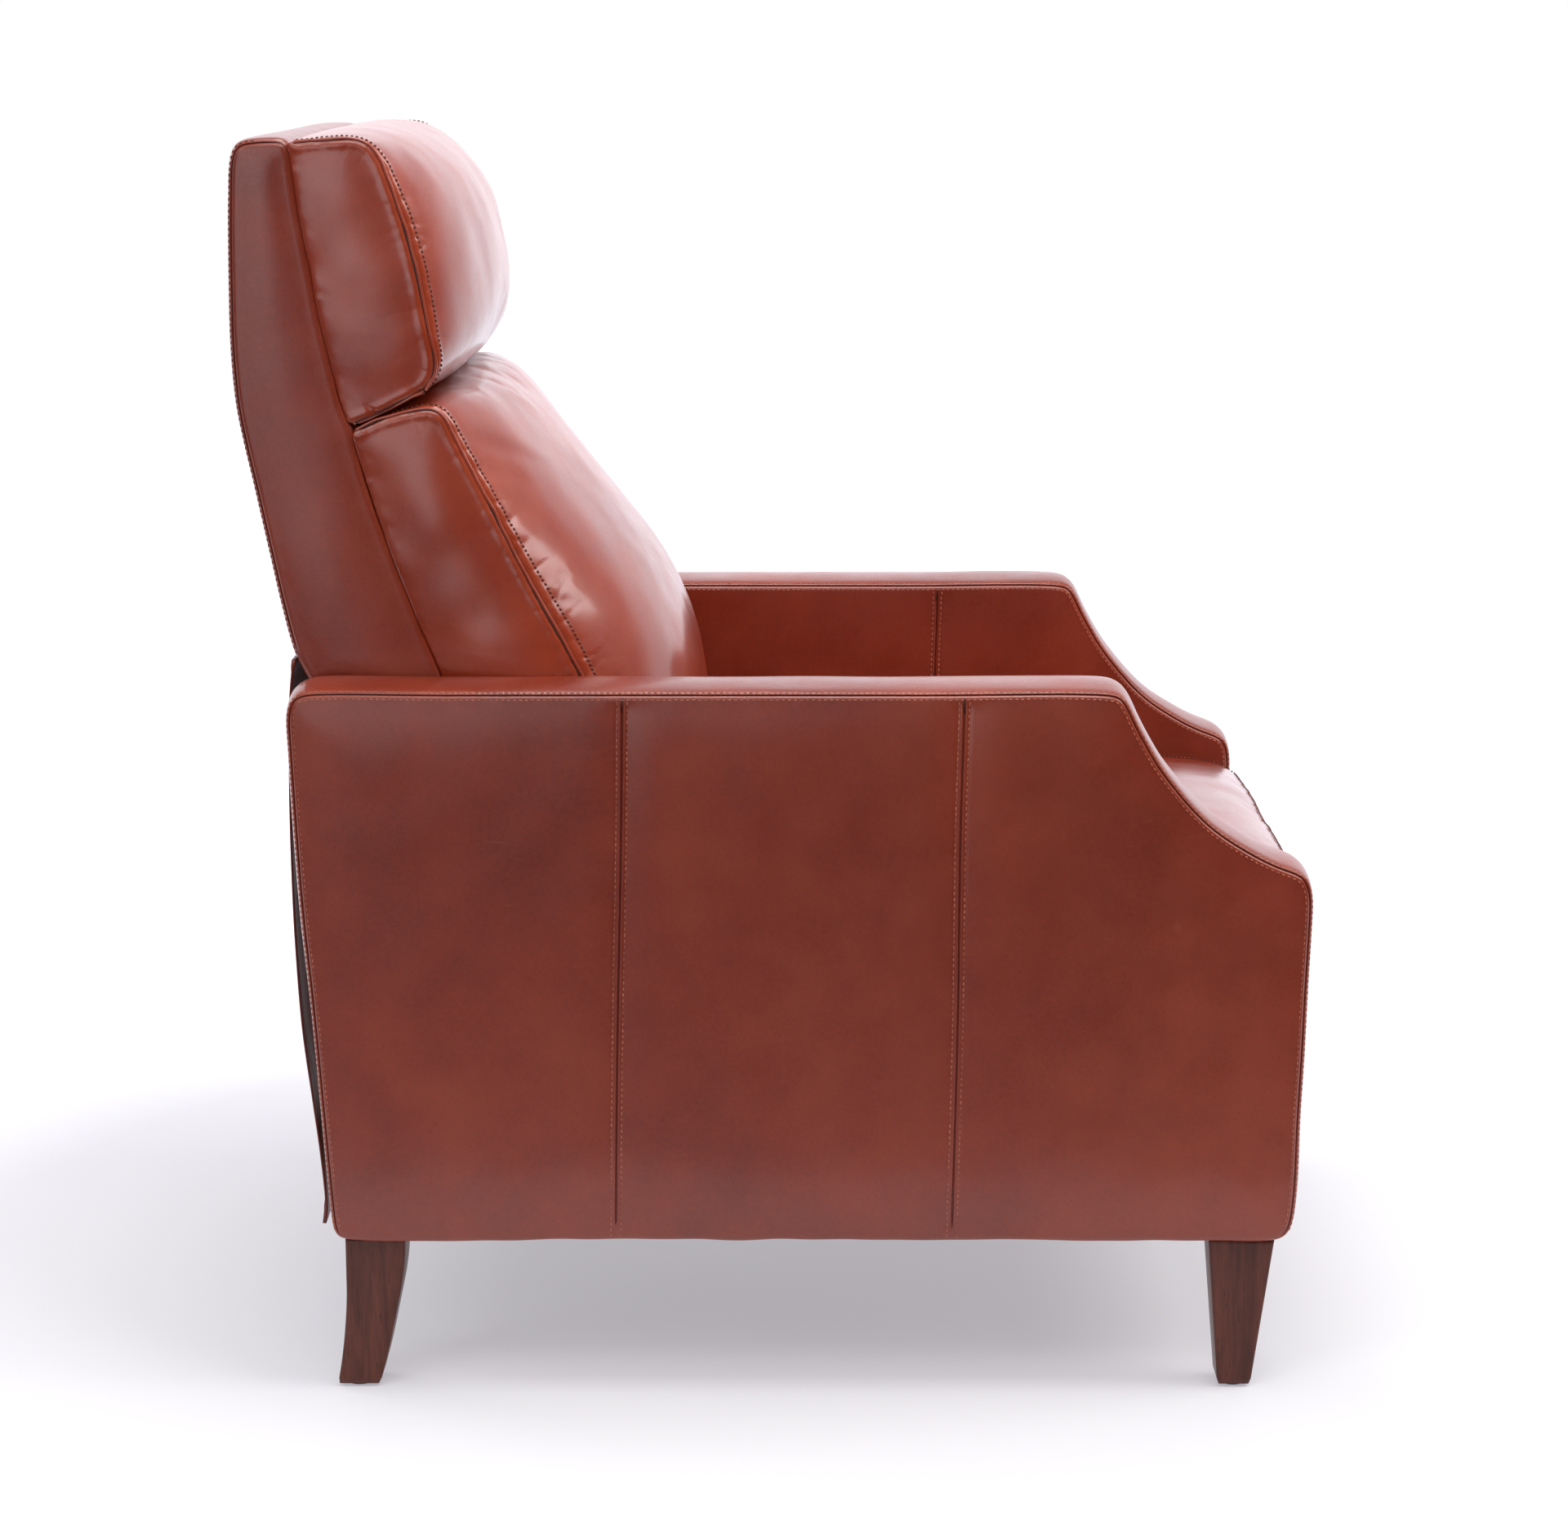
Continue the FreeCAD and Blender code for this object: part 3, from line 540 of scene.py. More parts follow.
def slab(name, outline, x_out, x_in, mat, seams=(), puff=2.6, wave=0.8, crown=(), mid_rows=5, seed=0, step=4.0, grid=9.0,
         band_crown=0.5, edge_rows=EDGE_ROWS, bottom_wavy=None, lift=0.0, plain=None, band_len=14.0, puff_len=26.0, in_puff=None, top_flat=0.0):
    """A leather-covered slab: outline in (f, z), clockwise, between x_in and x_out (mm), sewn along both faces' edges.
    seams are polylines in (f, z) that run across both faces."""
    base = resample(catmull(outline, True, 6), step=step, closed=True)
    base = smooth_closed(base, 2)
    if bottom_wavy is not None:
        zb, amp = bottom_wavy
        for q in base:
            if q[1] < zb + 1.5:
                q[1] += amp * (noise.noise(Vector((q[0] * 0.022, seed, 0.3))) - 0.1)
    nrm = normals_2d(base)
    if lift:
        base = base + np.stack([np.zeros(len(base)), lift * np.clip((nrm[:, 1] - 0.15) / 0.5, 0, 1)], 1)
        base = smooth_closed(base, 3)
        nrm = normals_2d(base)
    for _ in range(3):
        nrm = 0.5 * nrm + 0.25 * (np.roll(nrm, 1, 0) + np.roll(nrm, -1, 0))
        nrm /= np.linalg.norm(nrm, axis=1)[:, None]
    N = len(base)
    sgn = 1.0 if x_out > x_in else -1.0
    T = abs(x_out - x_in)
    pl = np.zeros(N) if plain is None else np.array([1.0 if plain(q[0], q[1]) else 0.0 for q in base])
    for _ in range(6):
        pl = 0.5 * pl + 0.25 * (np.roll(pl, 1) + np.roll(pl, -1))
    rows = []
    d_last = edge_rows[-1][1]
    i_last = edge_rows[-1][0]
    for (i, d, e, sm), (i2, d2, e2, s2) in zip(edge_rows, PLAIN_ROWS):
        rows.append((i * (1 - pl) + i2 * pl, d * (1 - pl) + d2 * pl, e * (1 - pl) + e2 * pl, sm * (1 - pl) + s2 * pl))
    k = len(rows)
    for j in range(1, mid_rows + 1):
        u = j / (mid_rows + 1)
        u = u + 0.35 * (u - 0.5) * (1 - (2 * u - 1) ** 2) * -1.0
        d = d_last + (T - 2 * d_last) * u
        dd = min(d, T - d) - d_last
        ins = (i_last * (1 - pl) + 0.45 * pl) * math.exp(-(dd / band_len) ** 1.3) - band_crown * math.sin(math.pi * u) * (1 - top_flat * np.clip((nrm[:, 1] - 0.3) / 0.4, 0, 1))
        rows.append((ins, np.full(N, d), np.full(N, 0.05), np.zeros(N)))
    rows += [(i, T - d, e, sm) for i, d, e, sm in rows[:k][::-1]]
    verts, edge_wear_and_highlight, seam = [], [], []
    for (ins, d, e, sm) in rows:
        q = base - nrm * ins[:, None]
        for i in range(N):
            x = x_out - sgn * d[i]
            w = noise.noise(Vector((q[i, 0] * 0.013, q[i, 1] * 0.013, x * 0.02 + seed))) * 0.5 if ins[i] < 2.5 else 0.0
            verts.append(P(q[i, 0] + nrm[i, 0] * w, q[i, 1] + nrm[i, 1] * w, x))
            edge_wear_and_highlight.append(e[i])
            seam.append(sm[i])
    faces = []
    for r in range(len(rows) - 1):
        for i in range(N):
            j = (i + 1) % N
            faces.append((r * N + i, r * N + j, (r + 1) * N + j, (r + 1) * N + i))
    # the two faces
    ring = base - nrm * edge_rows[0][0]
    f0, f1, z0, z1 = ring[:, 0].min(), ring[:, 0].max(), ring[:, 1].min(), ring[:, 1].max()
    seam_pts = [resample(catmull(s, False, 6), step=5.5) for s in seams]
    cand = []
    offs = (0.0, -0.5, 0.5, -1.1, 1.1, -2.1, 2.1, -3.2, 3.2, -4.3, 4.3, -5.6, 5.6, -8.0, 8.0)
    for s in seam_pts:
        t = np.gradient(s, axis=0)
        t /= np.linalg.norm(t, axis=1)[:, None]
        sn = np.stack([-t[:, 1], t[:, 0]], 1)
        for o in offs:
            cand.append(s + sn * o)
    gf, gz = np.meshgrid(np.arange(f0 + 3, f1, grid), np.arange(z0 + 3, z1, grid))
    g = np.stack([gf.ravel(), gz.ravel()], 1)
    g[:, 0] += (np.floor((g[:, 1] - z0) / grid) % 2) * grid / 2
    if seam_pts:
        allseam = np.vstack(seam_pts)
        dd = np.min(np.linalg.norm(g[:, None] - allseam[None], axis=2), axis=1)
        g = g[dd > 12.0]
    cand.append(g)
    cand = np.vstack(cand)
    # keep the points inside the ring
    x1, y1 = ring[:, 0], ring[:, 1]
    x2, y2 = np.roll(x1, -1), np.roll(y1, -1)
    inside = np.zeros(len(cand), bool)
    for a in range(N):
        c1 = (y1[a] > cand[:, 1]) != (y2[a] > cand[:, 1])
        xi = (x2[a] - x1[a]) * (cand[:, 1] - y1[a]) / (y2[a] - y1[a] + 1e-12) + x1[a]
        inside ^= c1 & (cand[:, 0] < xi)
    cand = cand[inside]
    dist = np.min(np.linalg.norm(cand[:, None] - ring[None], axis=2), axis=1)
    keep = dist > 2.6
    cand, dist = cand[keep], dist[keep]
    # a seam is carried on to the ring
    inp = [Vector(p) for p in ring] + [Vector(p) for p in cand]
    res = delaunay_2d_cdt(inp, [(i, (i + 1) % N) for i in range(N)], [], 1, 1e-5)
    orig = [o[0] if o else -1 for o in res[3]]
    fz = np.vstack([ring, cand])
    dist = np.r_[np.zeros(N), dist]
    off = np.zeros(len(fz))
    painted_seam_shade = np.zeros(len(fz))
    off += puff * (1 - np.exp(-dist / puff_len))
    for i, (a, b) in enumerate(fz):
        fade = 1 - math.exp(-dist[i] / 20.0)
        off[i] += fade * wave * (noise.noise(Vector((a * 0.006, b * 0.006, seed + 1.7))) + 0.4 * noise.noise(Vector((a * 0.02, b * 0.02, seed))))
    for s in seam_pts:
        sd = np.full(len(fz), 1e3)
        for k in range(len(s) - 1):
            p, q = s[k], s[k + 1]
            d = q - p
            t = np.clip(((fz - p) @ d) / (d @ d), 0, 1)
            sd = np.minimum(sd, np.linalg.norm(fz - (p + t[:, None] * d), axis=1))
        fade = np.clip(dist / 4.0, 0, 1)
        off += fade * (-1.0 * np.exp(-(sd / 16.0) ** 2) - 1.5 * np.exp(-(sd / 0.6) ** 2) + 0.7 * np.exp(-((sd - 2.1) / 1.2) ** 2) - 0.35 * np.exp(-((sd - 4.3) / 0.8) ** 2))
        # painted shade: the face darkens along each seam line
        painted_seam_shade = np.maximum(painted_seam_shade, 0.85 * np.exp(-(sd / 0.42) ** 2))
    base_e = edge_rows[0][1]
    for side in (0, 1):
        first = len(verts)
        index = {}
        for vi, o in enumerate(orig):
            if 0 <= o < N:
                index[vi] = o if side == 0 else (len(rows) - 1) * N + o
            else:
                k = o if o >= 0 else 0
                less = 0.0 if in_puff is None else (puff - in_puff) * (1 - math.exp(-dist[k] / puff_len))
                x = (x_out - sgn * (base_e - off[k])) if side == 0 else (x_in + sgn * (base_e - off[k] + less))
                index[vi] = len(verts)
                verts.append(P(fz[k, 0], fz[k, 1], x))
                edge_wear_and_highlight.append(0.0)
                seam.append(painted_seam_shade[k] * 0.9)
        for t in res[2]:
            if len(t) >= 3:
                ids = [index[v] for v in t]
                if len(set(ids)) == len(ids):
                    faces.append(ids if side == 0 else ids[::-1])
    ob = new_obj(name, verts, faces, mat)
    set_attr(ob, "edge_wear_and_highlight", edge_wear_and_highlight)
    set_attr(ob, "seam", seam)
    fix_keep(ob)
    return ob, base, nrm


def fix_keep(ob):
    bm = bmesh.new()
    bm.from_mesh(ob.data)
    bmesh.ops.recalc_face_normals(bm, faces=bm.faces)
    bm.to_mesh(ob.data)
    bm.free()
    ob.data.update()


# ----------------------------------------------------------------------- arms
BODY_BOTTOM = ARM_LO.z * 1000
ARM_OUTLINE = [
    (-399, BODY_BOTTOM), (-404, 139.5), (-407, 146), (-409.5, 169), (-415, 245), (-422.5, 351),
    (-428.5, 420), (-432.5, 487), (-436, 566), (-437, 600), (-434.5, 609), (-428, 615.5), (-418, 618),
    (-300, 618), (-100, 618.3), (100, 618.3), (262, 618), (270, 615.5), (276, 608.5), (283, 594), (289, 582), (296, 569.5), (303, 557.5),
    (310, 547), (317, 538), (324.5, 528.5), (332, 520), (339, 512.5), (346, 506), (353, 500), (360, 495),
    (367, 490.5), (374, 486), (381, 482), (388, 478), (395, 474.5), (402, 471), (409, 468.5), (416, 466),
    (424, 463), (430, 458.5), (434.5, 451), (436, 441), (435.8, 420), (434, 370), (432, 298), (430, 243),
    (429, 188), (426, 155), (422.5, 144), (416, 138.8), (408, BODY_BOTTOM), (200, BODY_BOTTOM), (0, BODY_BOTTOM), (-200, BODY_BOTTOM)]
ARM_SEAMS = [[(-151.5, 606), (-153, 500), (-158, 300), (-160.5, 140)], [(136, 606), (133.5, 500), (132.5, 330), (129, 140)]]
seam_shadow_tubes = {"base": Batch(), "back": Batch(), "seat_carriage": Batch(), "footrest": Batch()}
thread = {"base": Batch(), "back": Batch(), "seat_carriage": Batch(), "footrest": Batch()}

for side, s in (("left", 1.0), ("right", -1.0)):
    xo, xi = s * (HALF_W - 2.2), s * (ARM_IN + 1.2)
    arm, base, nrm = slab("arm_" + side, ARM_OUTLINE, xo, xi, mat_arm, ARM_SEAMS, seed=11 if s > 0 else 23, bottom_wavy=(BODY_BOTTOM, 1.6),
                          puff=3.4, in_puff=0.4, lift=3.5, mid_rows=11, band_crown=0.6, plain=lambda f, z: z < BODY_BOTTOM + 3)
    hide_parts("arm_cover_" + side)
    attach(arm, "base")
    bvh = bvh_of(arm)
    # the stitched stretch: up the rear edge, along the top, down the slope and the front edge
    sel = [i for i in range(len(base)) if base[i, 1] > 143]
    start = min(sel, key=lambda i: (base[i, 1] + (1000 if base[i, 0] > 0 else 0)))
    order = [(start + k) % len(base) for k in range(len(base))]
    run = [i for i in order if base[i, 1] > 143]
    for (face_x, inward) in ((xo, -s), (xi, s)):
        q = base[run] - nrm[run] * 9.0
        pth, nn = project(arr(q[:, 0], q[:, 1], face_x), bvh)
        stitch_row(thread["base"], pth, nn, pitch=0.0050, rad=0.00050, fill=0.55)
        q = base[run] - nrm[run] * 3.35
        pth, nn = project(arr(q[:, 0], q[:, 1], face_x + inward * 3.6), bvh)
        stitch_row(thread["base"], pth, nn, pitch=0.0050, rad=0.00058, fill=0.62)
        for sm in ARM_SEAMS:
            c = resample(catmull(sm, False, 6), step=4)
            c = c[(c[:, 1] < 607) & (c[:, 1] > 139)]
            t = np.gradient(c, axis=0)
            t /= np.linalg.norm(t, axis=1)[:, None]
            sn = np.stack([-t[:, 1], t[:, 0]], 1)
            top = np.array([c[0] + (c[0] - c[3]) / np.linalg.norm(c[0] - c[3]) * k for k in (9.0, 6.0, 3.0)])
            pth, nn = project(arr(top[:, 0], top[:, 1], face_x), bvh)
            # a dark tube painting the shade in the seam groove over the top of the arm
            v_, f_ = tube_mesh(np.vstack([pth, project(arr(c[:2, 0], c[:2, 1], face_x), bvh)[0]]), 0.0006, 6)
            seam_shadow_tubes["base"].add(v_, f_)
            full = np.vstack([top[1:], c])
            sn_ = np.vstack([sn[:1], sn[:1], sn])
            for o in (-4.3, 4.3):
                q = full + sn_ * o
                pth, nn = project(arr(q[:, 0], q[:, 1], face_x), bvh)
                stitch_row(thread["base"], pth, nn, pitch=0.0052, rad=0.00062, fill=0.62)

# ------------------------------------------------------------------- the back
BACK_REAR = [(-473, 1075), (-480, 1071), (-485, 1059), (-487.5, 1025), (-488.5, 990), (-489, 945), (-489, 904), (-485.5, 851),
             (-479.5, 816), (-472, 781), (-461, 727), (-450, 674), (-441, 640)]
BACK_LOW = [(-420, 600), (-385, 550), (-345, 490), (-316, 452), (-300, 440)]
BACK_FRONT = [(-250, 436), (-240, 445), (-262, 500), (-288, 562), (-311, 620), (-328, 663), (-348, 717), (-368, 772), (-378, 809),
              (-383, 832), (-391, 851), (-399, 886), (-407, 921), (-413, 956), (-419, 990), (-425, 1025), (-429, 1059), (-431.5, 1071), (-437, 1076)]
def front_at(z):
    line = sorted(BACK_FRONT, key=lambda q: q[1])
    for (f0, z0), (f1, z1) in zip(line, line[1:]):
        if z0 <= z <= z1:
            return f0 + (f1 - f0) * (z - z0) / (z1 - z0)
    return line[0][0] if z < line[0][1] else line[-1][0]


front_line = front_at
BL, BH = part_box("outer_back_cover")
XB = BH.x * 1000
outline = (BACK_REAR + BACK_LOW + BACK_FRONT)[::-1]
loop = np.array(outline, float)
area = 0.5 * np.sum(loop[:, 0] * np.roll(loop[:, 1], -1) - np.roll(loop[:, 0], -1) * loop[:, 1])
if area > 0:
    loop = loop[::-1]
back, bbase, bnrm = slab("back_cover", [tuple(p) for p in loop], XB - 1.8, -XB + 1.8, mat_back, (), puff=3.0, wave=1.0,
                         mid_rows=44, seed=31, step=4.0, grid=8.0, band_crown=2.2, top_flat=1.3, band_len=20.0,
                         plain=lambda f, z: z < 640 or (z < 1066 and f > front_line(z) - 14) or f > -438)
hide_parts("outer_back_cover")
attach(back, "back")


bvh = bvh_of(back)
run = [i for i in range(len(bbase)) if bbase[i, 0] < front_at(bbase[i, 1]) - 22 and bbase[i, 1] > 620]
# keep the run in one piece, from the low rear end up over the top
k0 = next((i for i in run if (i - 1) % len(bbase) not in run), run[0])
run = [(k0 + k) % len(bbase) for k in range(len(run))]
for xx, inward in ((XB - 1.8, -1), (-XB + 1.8, 1)):
    q = bbase[run] - bnrm[run] * 3.35
    pth, nn = project(arr(q[:, 0], q[:, 1], xx + inward * 3.6), bvh)
    stitch_row(thread["back"], pth, nn, pitch=0.0050, rad=0.00058, fill=0.62)


# ------------------------------------------------------------------- cushions
def crown(u, p=2.6, q=0.62):
    return (1 - np.abs(u) ** p) ** q


class Cushion:
    """A boxed cushion lofted across X between an edge profile and a middle profile."""

    def __init__(self, name, back_line, front_edge, front_mid, X, nb=26, nf=90, nx=54, p=2.6, q=0.62, side_puff=4.0, back_puff=0.0):
        self.name, self.X = name, X
        fe = resample(catmull(front_edge, False, 6), n=nf)
        fm = resample(catmull(front_mid, False, 6), n=nf)
        bl = resample(np.array(back_line, float), n=nb)
        self.fe, self.fm, self.bl, self.nf, self.nb = fe, fm, bl, nf, nb
        self.p, self.q = p, q
        us = np.sin(np.linspace(-1, 1, nx) * math.pi / 2)
        us = 0.55 * us + 0.45 * np.linspace(-1, 1, nx)
        sections = []
        for u in us:
            sections.append(self.section(u))
        N = nb + nf - 2
        verts = []
        for u, sct in zip(us, sections):
            for (f, z) in sct:
                verts.append(P(f, z, u * X))
        faces = []
        for k in range(nx - 1):
            for i in range(N):
                j = (i + 1) % N
                faces.append((k * N + i, k * N + j, (k + 1) * N + j, (k + 1) * N + i))
        # boxed ends
        for k, sg in ((0, -1.0), (nx - 1, 1.0)):
            ring = sections[k]
            f0, f1, z0, z1 = ring[:, 0].min(), ring[:, 0].max(), ring[:, 1].min(), ring[:, 1].max()
            gf, gz = np.meshgrid(np.arange(f0, f1, 6.0), np.arange(z0, z1, 6.0))
            g = np.stack([gf.ravel(), gz.ravel()], 1)
            x1, y1 = ring[:, 0], ring[:, 1]
            x2, y2 = np.roll(x1, -1), np.roll(y1, -1)
            ins = np.zeros(len(g), bool)
            for a in range(N):
                c1 = (y1[a] > g[:, 1]) != (y2[a] > g[:, 1])
                xi = (x2[a] - x1[a]) * (g[:, 1] - y1[a]) / (y2[a] - y1[a] + 1e-12) + x1[a]
                ins ^= c1 & (g[:, 0] < xi)
            g = g[ins]
            dist = np.min(np.linalg.norm(g[:, None] - ring[None], axis=2), axis=1)
            g, dist = g[dist > 2.5], dist[dist > 2.5]
            res = delaunay_2d_cdt([Vector(p_) for p_ in ring] + [Vector(p_) for p_ in g], [(i, (i + 1) % N) for i in range(N)], [], 1, 1e-5)
            index = {}
            for vi, o in enumerate(res[3]):
                o = o[0] if o else 0
                if o < N:
                    index[vi] = k * N + o
                else:
                    gg = g[o - N]
                    index[vi] = len(verts)
                    verts.append(P(gg[0], gg[1], sg * (X + side_puff * (1 - math.exp(-dist[o - N] / 22.0)))))
            for t in res[2]:
                ids = [index[v] for v in t]
                if len(set(ids)) == len(ids) and len(ids) >= 3:
                    faces.append(ids)
        self.ob = new_obj(name, verts, faces)
        fix_normals(self.ob)

    def section(self, u):
        c = crown(u, self.p, self.q)
        f = self.fe + c * (self.fm - self.fe)
        return np.vstack([self.bl, f[1:-1]])       # back line up, front line down

    def front_path(self, u, lo=0.0, hi=1.0, x=None):
        c = crown(min(abs(u), 1.0), self.p, self.q)
        f = self.fe + c * (self.fm - self.fe)
        a, b = int(lo * (self.nf - 1)), int(hi * (self.nf - 1)) + 1
        f = f[a:b]
        return arr(f[:, 0], f[:, 1], self.X * u if x is None else x)


def remesh_smooth(ob, voxel=0.005, smooth=0):
    m = ob.modifiers.new("r", "REMESH")
    m.mode = "VOXEL"
    m.voxel_size = voxel
    m.adaptivity = 0.0
    if smooth:
        s = ob.modifiers.new("s", "SMOOTH")
        s.iterations = smooth
        s.factor = 0.5
    bake_mods(ob)


def bake_mods(ob):
    dg = bpy.context.evaluated_depsgraph_get()
    me = bpy.data.meshes.new_from_object(ob.evaluated_get(dg))
    old = ob.data
    ob.modifiers.clear()
    ob.data = me
    me.name = ob.name
    if old.users == 0:
        bpy.data.meshes.remove(old)
    me.polygons.foreach_set("use_smooth", [True] * len(me.polygons))


def inflate(ob, pressure=4.0, cap=0.022, frames=20, pin=None, stiff=18.0, limit=None):
    """Cloth pressure inside the closed cover; how far any point may move is capped."""
    rest = np.array([v.co for v in ob.data.vertices])
    sc = bpy.context.scene
    sc.frame_set(1)
    md = ob.modifiers.new("cloth", "CLOTH")
    st = md.settings
    st.quality = 5
    st.mass = 0.35
    st.tension_stiffness = st.compression_stiffness = st.shear_stiffness = stiff
    st.bending_stiffness = 0.8
    st.tension_damping = st.compression_damping = st.shear_damping = 8
    st.air_damping = 2.0
    st.use_pressure = True
    st.uniform_pressure_force = pressure
    st.effector_weights.gravity = 0.0
    md.collision_settings.use_collision = False
    md.collision_settings.use_self_collision = False
    md.point_cache.frame_start, md.point_cache.frame_end = 1, frames
    if pin is not None:
        vg = ob.vertex_groups.new(name="pin")
        for i, w in enumerate(pin):
            if w > 0.01:
                vg.add([i], float(min(w, 1.0)), "REPLACE")
        st.vertex_group_mass = "pin"
        st.pin_stiffness = 1.0
    for f in range(1, frames + 1):
        sc.frame_set(f)
    dg = bpy.context.evaluated_depsgraph_get()
    ev = ob.evaluated_get(dg).data
    co = np.array([v.co for v in ev.vertices])
    ob.modifiers.clear()
    ob.vertex_groups.clear()
    sc.frame_set(1)
    if len(co) != len(rest) or not np.isfinite(co).all():
        return
    d = co - rest
    L = np.linalg.norm(d, axis=1)
    k = cap * np.tanh(L / cap) / np.maximum(L, 1e-9)
    new = rest + d * k[:, None]
    ob.data.vertices.foreach_set("co", new.astype(np.float32).ravel())
    ob.data.update()


def clamp_inside(ob, xmax=None, back=None, zmin=None):
    """The cover stays on its own side of what it lies against."""
    co = np.array([v.co for v in ob.data.vertices])
    if xmax is not None:
        co[:, 0] = np.clip(co[:, 0], -xmax, xmax)
    if back is not None:
        z = co[:, 2] * 1000
        f = -co[:, 1] * 1000 - FC
        line = np.array([back(zz) for zz in z])
        co[:, 1] = np.where(f < line, -(line + FC) / 1000.0, co[:, 1])
    if zmin is not None:
        co[:, 2] = np.maximum(co[:, 2], zmin)
    ob.data.vertices.foreach_set("co", co.astype(np.float32).ravel())
    ob.data.update()


def smooth_sides(ob, xs, kd, keep=0.005, it=16):
    """Takes the buckles out of the boxed side panels and leaves their crown; the seams stay put."""
    me = ob.data
    co = np.array([v.co for v in me.vertices])
    ed = np.array([e.vertices[:] for e in me.edges])
    deg = np.bincount(ed.ravel(), minlength=len(co)).astype(float)
    free = np.abs(co[:, 0]) * 1000 > xs - 5.0
    free &= np.array([kd.find(Vector(q))[2] > keep for q in co])
    for _ in range(it):
        acc = np.zeros_like(co)
        np.add.at(acc, ed[:, 0], co[ed[:, 1]])
        np.add.at(acc, ed[:, 1], co[ed[:, 0]])
        avg = acc / deg[:, None]
        co[free, 0] = 0.4 * co[free, 0] + 0.6 * avg[free, 0]
    me.vertices.foreach_set("co", co.astype(np.float32).ravel())
    me.update()


def subdivide(ob, levels=1):
    m = ob.modifiers.new("sub", "SUBSURF")
    m.levels = m.render_levels = levels
    bake_mods(ob)


def even(p, it=6):
    p = np.array(p)
    for _ in range(it):
        p[1:-1] = 0.5 * p[1:-1] + 0.25 * (p[:-2] + p[2:])
    return p


def seam_shape(ob, paths, depth=2.0, width=3.2, pucker=1.1, reach=15.0, period=21.0, seed=0.0, ridge=0.6, xside=None):
    """Pulls the cover in along its seams, with a rolled edge and small gathers that fade away from the stitching."""
    pts, arc = [], []
    for k, p in enumerate(paths):
        p = even(resample(p, step=0.0012), 10)
        d = np.r_[0, np.cumsum(np.linalg.norm(np.diff(p, axis=0), axis=1))]
        pts.append(p)
        arc.append(d + 7.3 * k)
    pts, arc = np.vstack(pts), np.concatenate(arc)
    kd = KDTree(len(pts))
    for i, q in enumerate(pts):
        kd.insert(Vector(q), i)
    kd.balance()
    me = ob.data
    me.update()
    n = len(me.vertices)
    nor = np.zeros(n * 3, np.float32)
    me.vertices.foreach_get("normal", nor)
    nor = nor.reshape(-1, 3)
    co = np.array([v.co for v in me.vertices])
    edge_wear_and_highlight, seam = np.zeros(n), np.zeros(n)
    out = co.copy()
    for i in range(n):
        q, j, d = kd.find(Vector(co[i]))
        d *= 1000
        if d > 70:
            continue
        a = arc[j] * 1000
        w = math.exp(-(d / width) ** 2)
        g = math.exp(-d / reach) * (1 - math.exp(-(d / 3.0) ** 2))
        s1 = noise.noise(Vector((a / period, seed, 0.2)))
        s2 = noise.noise(Vector((a / (period * 2.7), seed + 5, d / 60.0)))
        sharp = 1 - abs(noise.noise(Vector((a / (period * 0.8), seed + 9, d / 45.0)))) * 3.2
        off = -depth * w + ridge * math.exp(-((d - 2 * width) / width) ** 2)
        if xside is not None and abs(co[i, 0]) * 1000 > xside - 0.8:
            g *= 0.3
        off += pucker * g * (0.9 * s1 + 1.2 * s2 - 1.1 * max(0.0, sharp) ** 2)
        out[i] += nor[i] * off / 1000
        # lighter band on the rolled edge, part wear and part painted highlight; the near-black seam value is painted
        # shade in the groove
        edge_wear_and_highlight[i] = 0.8 * math.exp(-((d - 1.6 * width) / 4.0) ** 2)
        seam[i] = math.exp(-(d / 1.0) ** 2)
    me.vertices.foreach_set("co", out.astype(np.float32).ravel())
    me.update()
    set_attr(ob, "edge_wear_and_highlight", edge_wear_and_highlight)
    set_attr(ob, "seam", seam)


def undulate(ob, amp=1.2, scale=18.0, seed=0.0):
    me = ob.data
    me.update()
    n = len(me.vertices)
    nor = np.zeros(n * 3, np.float32)
    me.vertices.foreach_get("normal", nor)
    nor = nor.reshape(-1, 3)
    co = np.array([v.co for v in me.vertices])
    for i in range(n):
        q = Vector(co[i]) * scale
        co[i] += nor[i] * amp / 1000 * (noise.noise(q + Vector((seed, 0, 0))) + 0.35 * noise.noise(q * 2.3 + Vector((0, seed, 0))))
    me.vertices.foreach_set("co", co.astype(np.float32).ravel())
    me.update()


def seam_trim(batch_welt, batch_dark, batch_thread, bvh, seam, stitch, welt_r=1.7, dark_off=None, pitch=0.0042):
    """The rolled seam edge, a dark tube beside it that paints the shade in the seam gap, and the row of thread on the
    front panel.
    """
    p, n = project(resample(seam, step=0.0025), bvh)
    p, n = even(p, 8), even(n, 12)
    v, f = tube_mesh(p + n * 0.0003, welt_r / 1000.0, 10, False, n, 0.85)
    batch_welt.add(v, f)
    if dark_off is not None:
        p2, n2 = project(resample(dark_off, step=0.0025), bvh)
        p2, n2 = even(p2, 8), even(n2, 12)
        v, f = tube_mesh(p2 + n2 * 0.0001, 0.0008, 6, False, n2, 0.7)
        batch_dark.add(v, f)
    if stitch is not None:
        p3, n3 = project(resample(stitch, step=0.0025), bvh)
        p3 = even(p3, 3) + n3 * 0.0005
        stitch_row(batch_thread, p3, n3, pitch=pitch, rad=0.00085, fill=0.62)


welt = {"back": Batch(), "seat_carriage": Batch(), "footrest": Batch()}

